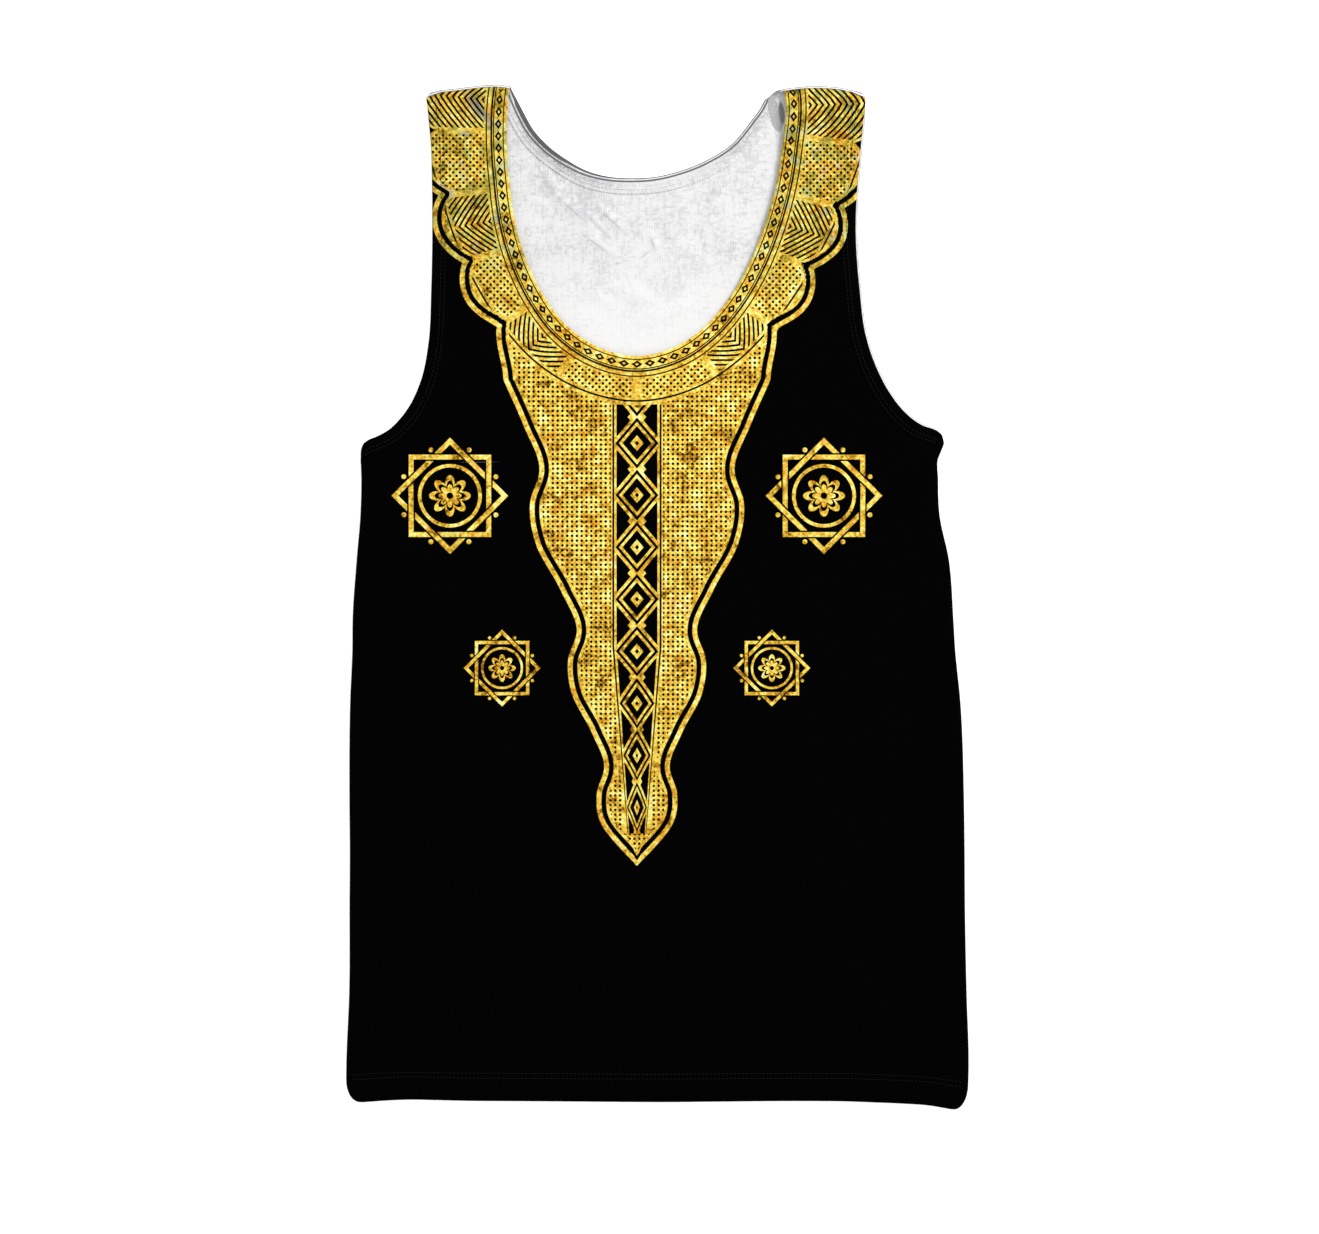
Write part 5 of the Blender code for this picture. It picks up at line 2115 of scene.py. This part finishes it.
@dataclass(frozen=True)
class Sewing:
    """Machine stitches: short arched threads in rows."""

    outline: Outline
    lie: Lie
    placement: Placement
    pitch: float = 0.0030
    length: float = 0.0023
    radius: float = 0.00021
    arch: float = 0.00016
    raised: float = 0.35
    taper: float = 0.72
    rings: int = 5
    sides: int = 6

    # The rows: those of the hem, and how far in from the edge those of the bindings lie.
    hem_ups: tuple[float, ...] = (0.0172, 0.0206)
    hem_across: tuple[float, float] = (-0.2135, 0.2430)
    hem_steps: int = 400
    arm_reaches: tuple[float, ...] = (0.0096, 0.0066)
    neck_reach: float = 0.0115
    back_neck_reaches: tuple[float, ...] = (0.0084, 0.0114)

    def hem_rows(self) -> list[Array]:
        """The two rows of the hem, on the front's outer face.

        Returns:
            each row's points.
        """
        rows = []
        for up in self.hem_ups:
            across = np.linspace(*self.hem_across, self.hem_steps)
            line = np.stack([across, np.full(self.hem_steps, up)], axis=1)
            line[:, 1] += self.outline.hem_rise(line)
            rows.append(np.column_stack([line, self.lie.front(line)]))
        return rows

    def black_rows(self, neck: Ring, arms: dict[Side, Ring]) -> list[Array]:
        """The rows in black thread: the hem's, the armholes' and the front neck's."""
        round_arms = [arms[side].line(reach, Face.FRONT) for side in Side for reach in self.arm_reaches]
        return [*self.hem_rows(), *round_arms, neck.line(self.neck_reach, Face.FRONT)]

    def white_rows(self, neck: Ring) -> list[Array]:
        """The rows in white thread, along the back neck's strip."""
        return [neck.line(reach, Face.BACK) for reach in self.back_neck_reaches]

    def row(self, line: Array, ways: Array) -> tuple[Array, Array]:
        """Stitches along a line.

        Args:
            line: the row's points on the cloth.
            ways: the cloth's outward direction at each.

        Returns:
            Points and faces. Each stitch is a tube whose rings narrow at its ends, with an arch, and
            its closing faces are two quads at each end.
        """
        along = lengths_along(line)
        count = int(along[-1] / self.pitch)
        middles = (np.arange(count) + 0.5) * along[-1] / count
        share = np.linspace(-1.0, 1.0, self.rings)
        at = (middles[:, None] + share * self.length / 2).ravel()
        centre, out = read_along(line, at), unit(read_along(ways, at))
        ahead = unit(np.gradient(read_along(line, middles), axis=0)).repeat(self.rings, axis=0)
        aside = unit(np.cross(out, ahead))
        share = np.tile(share, count)[:, None]
        centre = centre + out * (self.radius * self.raised + self.arch * (1 - share**2))
        thick = self.radius * (1 - self.taper * share**6)
        turn = np.linspace(0.0, 2 * math.pi, self.sides, endpoint=False)
        ring = np.cos(turn)[:, None] * aside[:, None] + np.sin(turn)[:, None] * out[:, None]
        points = (centre[:, None] + thick[:, None] * ring).reshape(-1, 3)
        index = np.arange(self.rings * self.sides).reshape(self.rings, self.sides)
        turned_index = np.roll(index, -1, axis=1)
        tube = np.stack([index[:-1], turned_index[:-1], turned_index[1:], index[1:]], axis=-1).reshape(-1, 4)
        end = np.array([[0, 3, 2, 1], [0, 5, 4, 3]])
        one = np.concatenate([tube, end, end[:, ::-1] + index[-1, 0]])
        step = np.arange(count)[:, None, None] * index.size
        return points, (one[None] + step).reshape(-1, 4)

    def mesh(self, name: str, rows: list[Array]) -> Mesh:
        """All rows of one thread.

        Args:
            name: the piece's name.
            rows: the rows' points. The cloth looks up at all of them.

        Returns:
            One mesh.
        """
        made = [self.row(line, np.tile([[0.0, 0.0, 1.0]], (len(line), 1))) for line in rows]
        starts = np.cumsum([0] + [len(points) for points, _ in made[:-1]])
        faces = np.concatenate([quads + start for (_, quads), start in zip(made, starts)])
        mesh = Mesh(name, np.concatenate([points for points, _ in made]), faces)
        return mesh if mesh.volume() > 0 else mesh.turned_over()

    def dress(self, name: str, rows: list[Array], thread: bpy.types.Material) -> bpy.types.Object:
        """Makes one thread's piece.

        Args:
            name: the piece's name.
            rows: the rows' points.
            thread: the thread's material.

        Returns:
            The piece.
        """
        piece = self.mesh(name, rows).placed(self.placement).build([thread])
        return piece


@dataclass(frozen=True)
class Studio:
    """The floor, the lights and the camera."""

    floor_size: float = 14.0
    floor_below: float = 0.0002
    floor_colour: str = "#FAFAFA"
    floor_matt: float = 0.9
    floor_glow: float = 0.6
    room_light: float = 0.62
    lens: float = 85.0
    sensor: float = 36.0

    # Square soft lights: name, place, size and power.
    LIGHTS: ClassVar[tuple] = (
        ("softbox", (1.7, 1.9, 1.35), 1.0, 66.0),
        ("fill", (-1.4, -1.0, 2.2), 2.4, 8.0),
    )

    def build(self, placement: Placement) -> None:
        """Sets the camera square above the cloth at the photograph's scale, and lights the floor.

        Args:
            placement: where the garment lies.
        """
        self.camera(placement)
        self.floor()
        for row in self.LIGHTS:
            self.light(*row)
        world = bpy.data.worlds.new("soft_white_room")
        world.use_nodes = True
        background = world.node_tree.nodes["Background"]
        background.inputs["Color"].default_value = WHITE_LIGHT
        background.inputs["Strength"].default_value = self.room_light
        bpy.context.scene.world = world
        bpy.context.scene.view_settings.view_transform = "Standard"

    def camera(self, placement: Placement) -> None:
        """The camera looks straight down on the picture's centre.

        Args:
            placement: where the garment lies.
        """
        data = bpy.data.cameras.new("camera")
        data.lens = self.lens
        data.sensor_width = self.sensor
        camera = bpy.data.objects.new("camera", data)
        bpy.context.scene.collection.objects.link(camera)
        across = (PICTURE_CENTRE[0] - CENTRE_FRONT_PIXEL) * PIXEL
        up = (HEM_PIXEL - PICTURE_CENTRE[1]) * PIXEL
        height = PICTURE_WIDTH * PIXEL * self.lens / self.sensor
        camera.location = placement.place(np.array([across, up, height]))
        bpy.context.scene.camera = camera

    def floor(self) -> None:
        """A plain white floor, a hair below the cloth."""
        half = self.floor_size / 2
        mesh = bpy.data.meshes.new("floor")
        corners = [(x * half, y * half, -self.floor_below) for x, y in ((-1, -1), (1, -1), (1, 1), (-1, 1))]
        mesh.from_pydata(corners, [], [(0, 1, 2, 3)])
        glow = {"Emission_Color": WHITE_LIGHT, "Emission_Strength": self.floor_glow}
        paint = Nodes("white_floor").finish(
            Base_Color=linear(self.floor_colour), Roughness=self.floor_matt, **glow
        )
        mesh.materials.append(paint)
        floor = bpy.data.objects.new("floor", mesh)
        bpy.context.scene.collection.objects.link(floor)

    def light(self, name: str, place: tuple[float, float, float], size: float, power: float) -> None:
        """A square soft light that looks at the garment.

        Args:
            name: its name.
            place: where it hangs.
            size: its width.
            power: its power in watts.
        """
        data = bpy.data.lights.new(name, "AREA")
        data.size = size
        data.energy = power
        lamp = bpy.data.objects.new(name, data)
        bpy.context.scene.collection.objects.link(lamp)
        lamp.location = place
        x, y, z = place
        lamp.rotation_euler = (math.atan2(math.hypot(x, y), z), 0.0, math.atan2(y, x) + math.pi / 2)


def report(piece: bpy.types.Object) -> None:
    """Logs a piece."""
    LOG.info("%s: %d faces", piece.name, len(piece.data.polygons))


def main() -> None:
    """Builds the studio, and the garment piece by piece."""
    logging.basicConfig(level=logging.INFO, format="%(message)s")
    outline = Outline()
    lie, placement, ornament = Lie(outline), Placement(outline), Ornament(outline)
    Studio().build(placement)
    cloth = Cloth(ornament, placement)
    printed, white, black = (cloth.face(finish) for finish in Finish)

    for cut, outer in ((FRONT_CUT, printed), (BACK_CUT, black)):
        report(ClothPanel(outline, lie, placement, ornament, cut).dress(outer, white))

    bindings = Bindings(outline, lie, placement, ornament)
    neck, run = bindings.neck()
    report(bindings.dress(bindings.neck_mesh(neck, run), "neck_binding", "neck_binding_cloth", printed))
    arms = {side: bindings.armhole(side) for side in Side}
    for side, ring in arms.items():
        mesh = bindings.armhole_mesh(ring, side)
        report(bindings.dress(mesh, f"armhole_binding_{side.value}", "armhole_binding_cloth", printed))

    sewing = Sewing(outline, lie, placement)
    rows = sewing.black_rows(neck, arms)
    report(sewing.dress("black_sewing", rows, cloth.thread("black_thread", "#0A0A0A")))
    rows = sewing.white_rows(neck)
    report(sewing.dress("white_sewing", rows, cloth.thread("white_thread", "#EDEDED")))


if __name__ == "__main__":
    main()
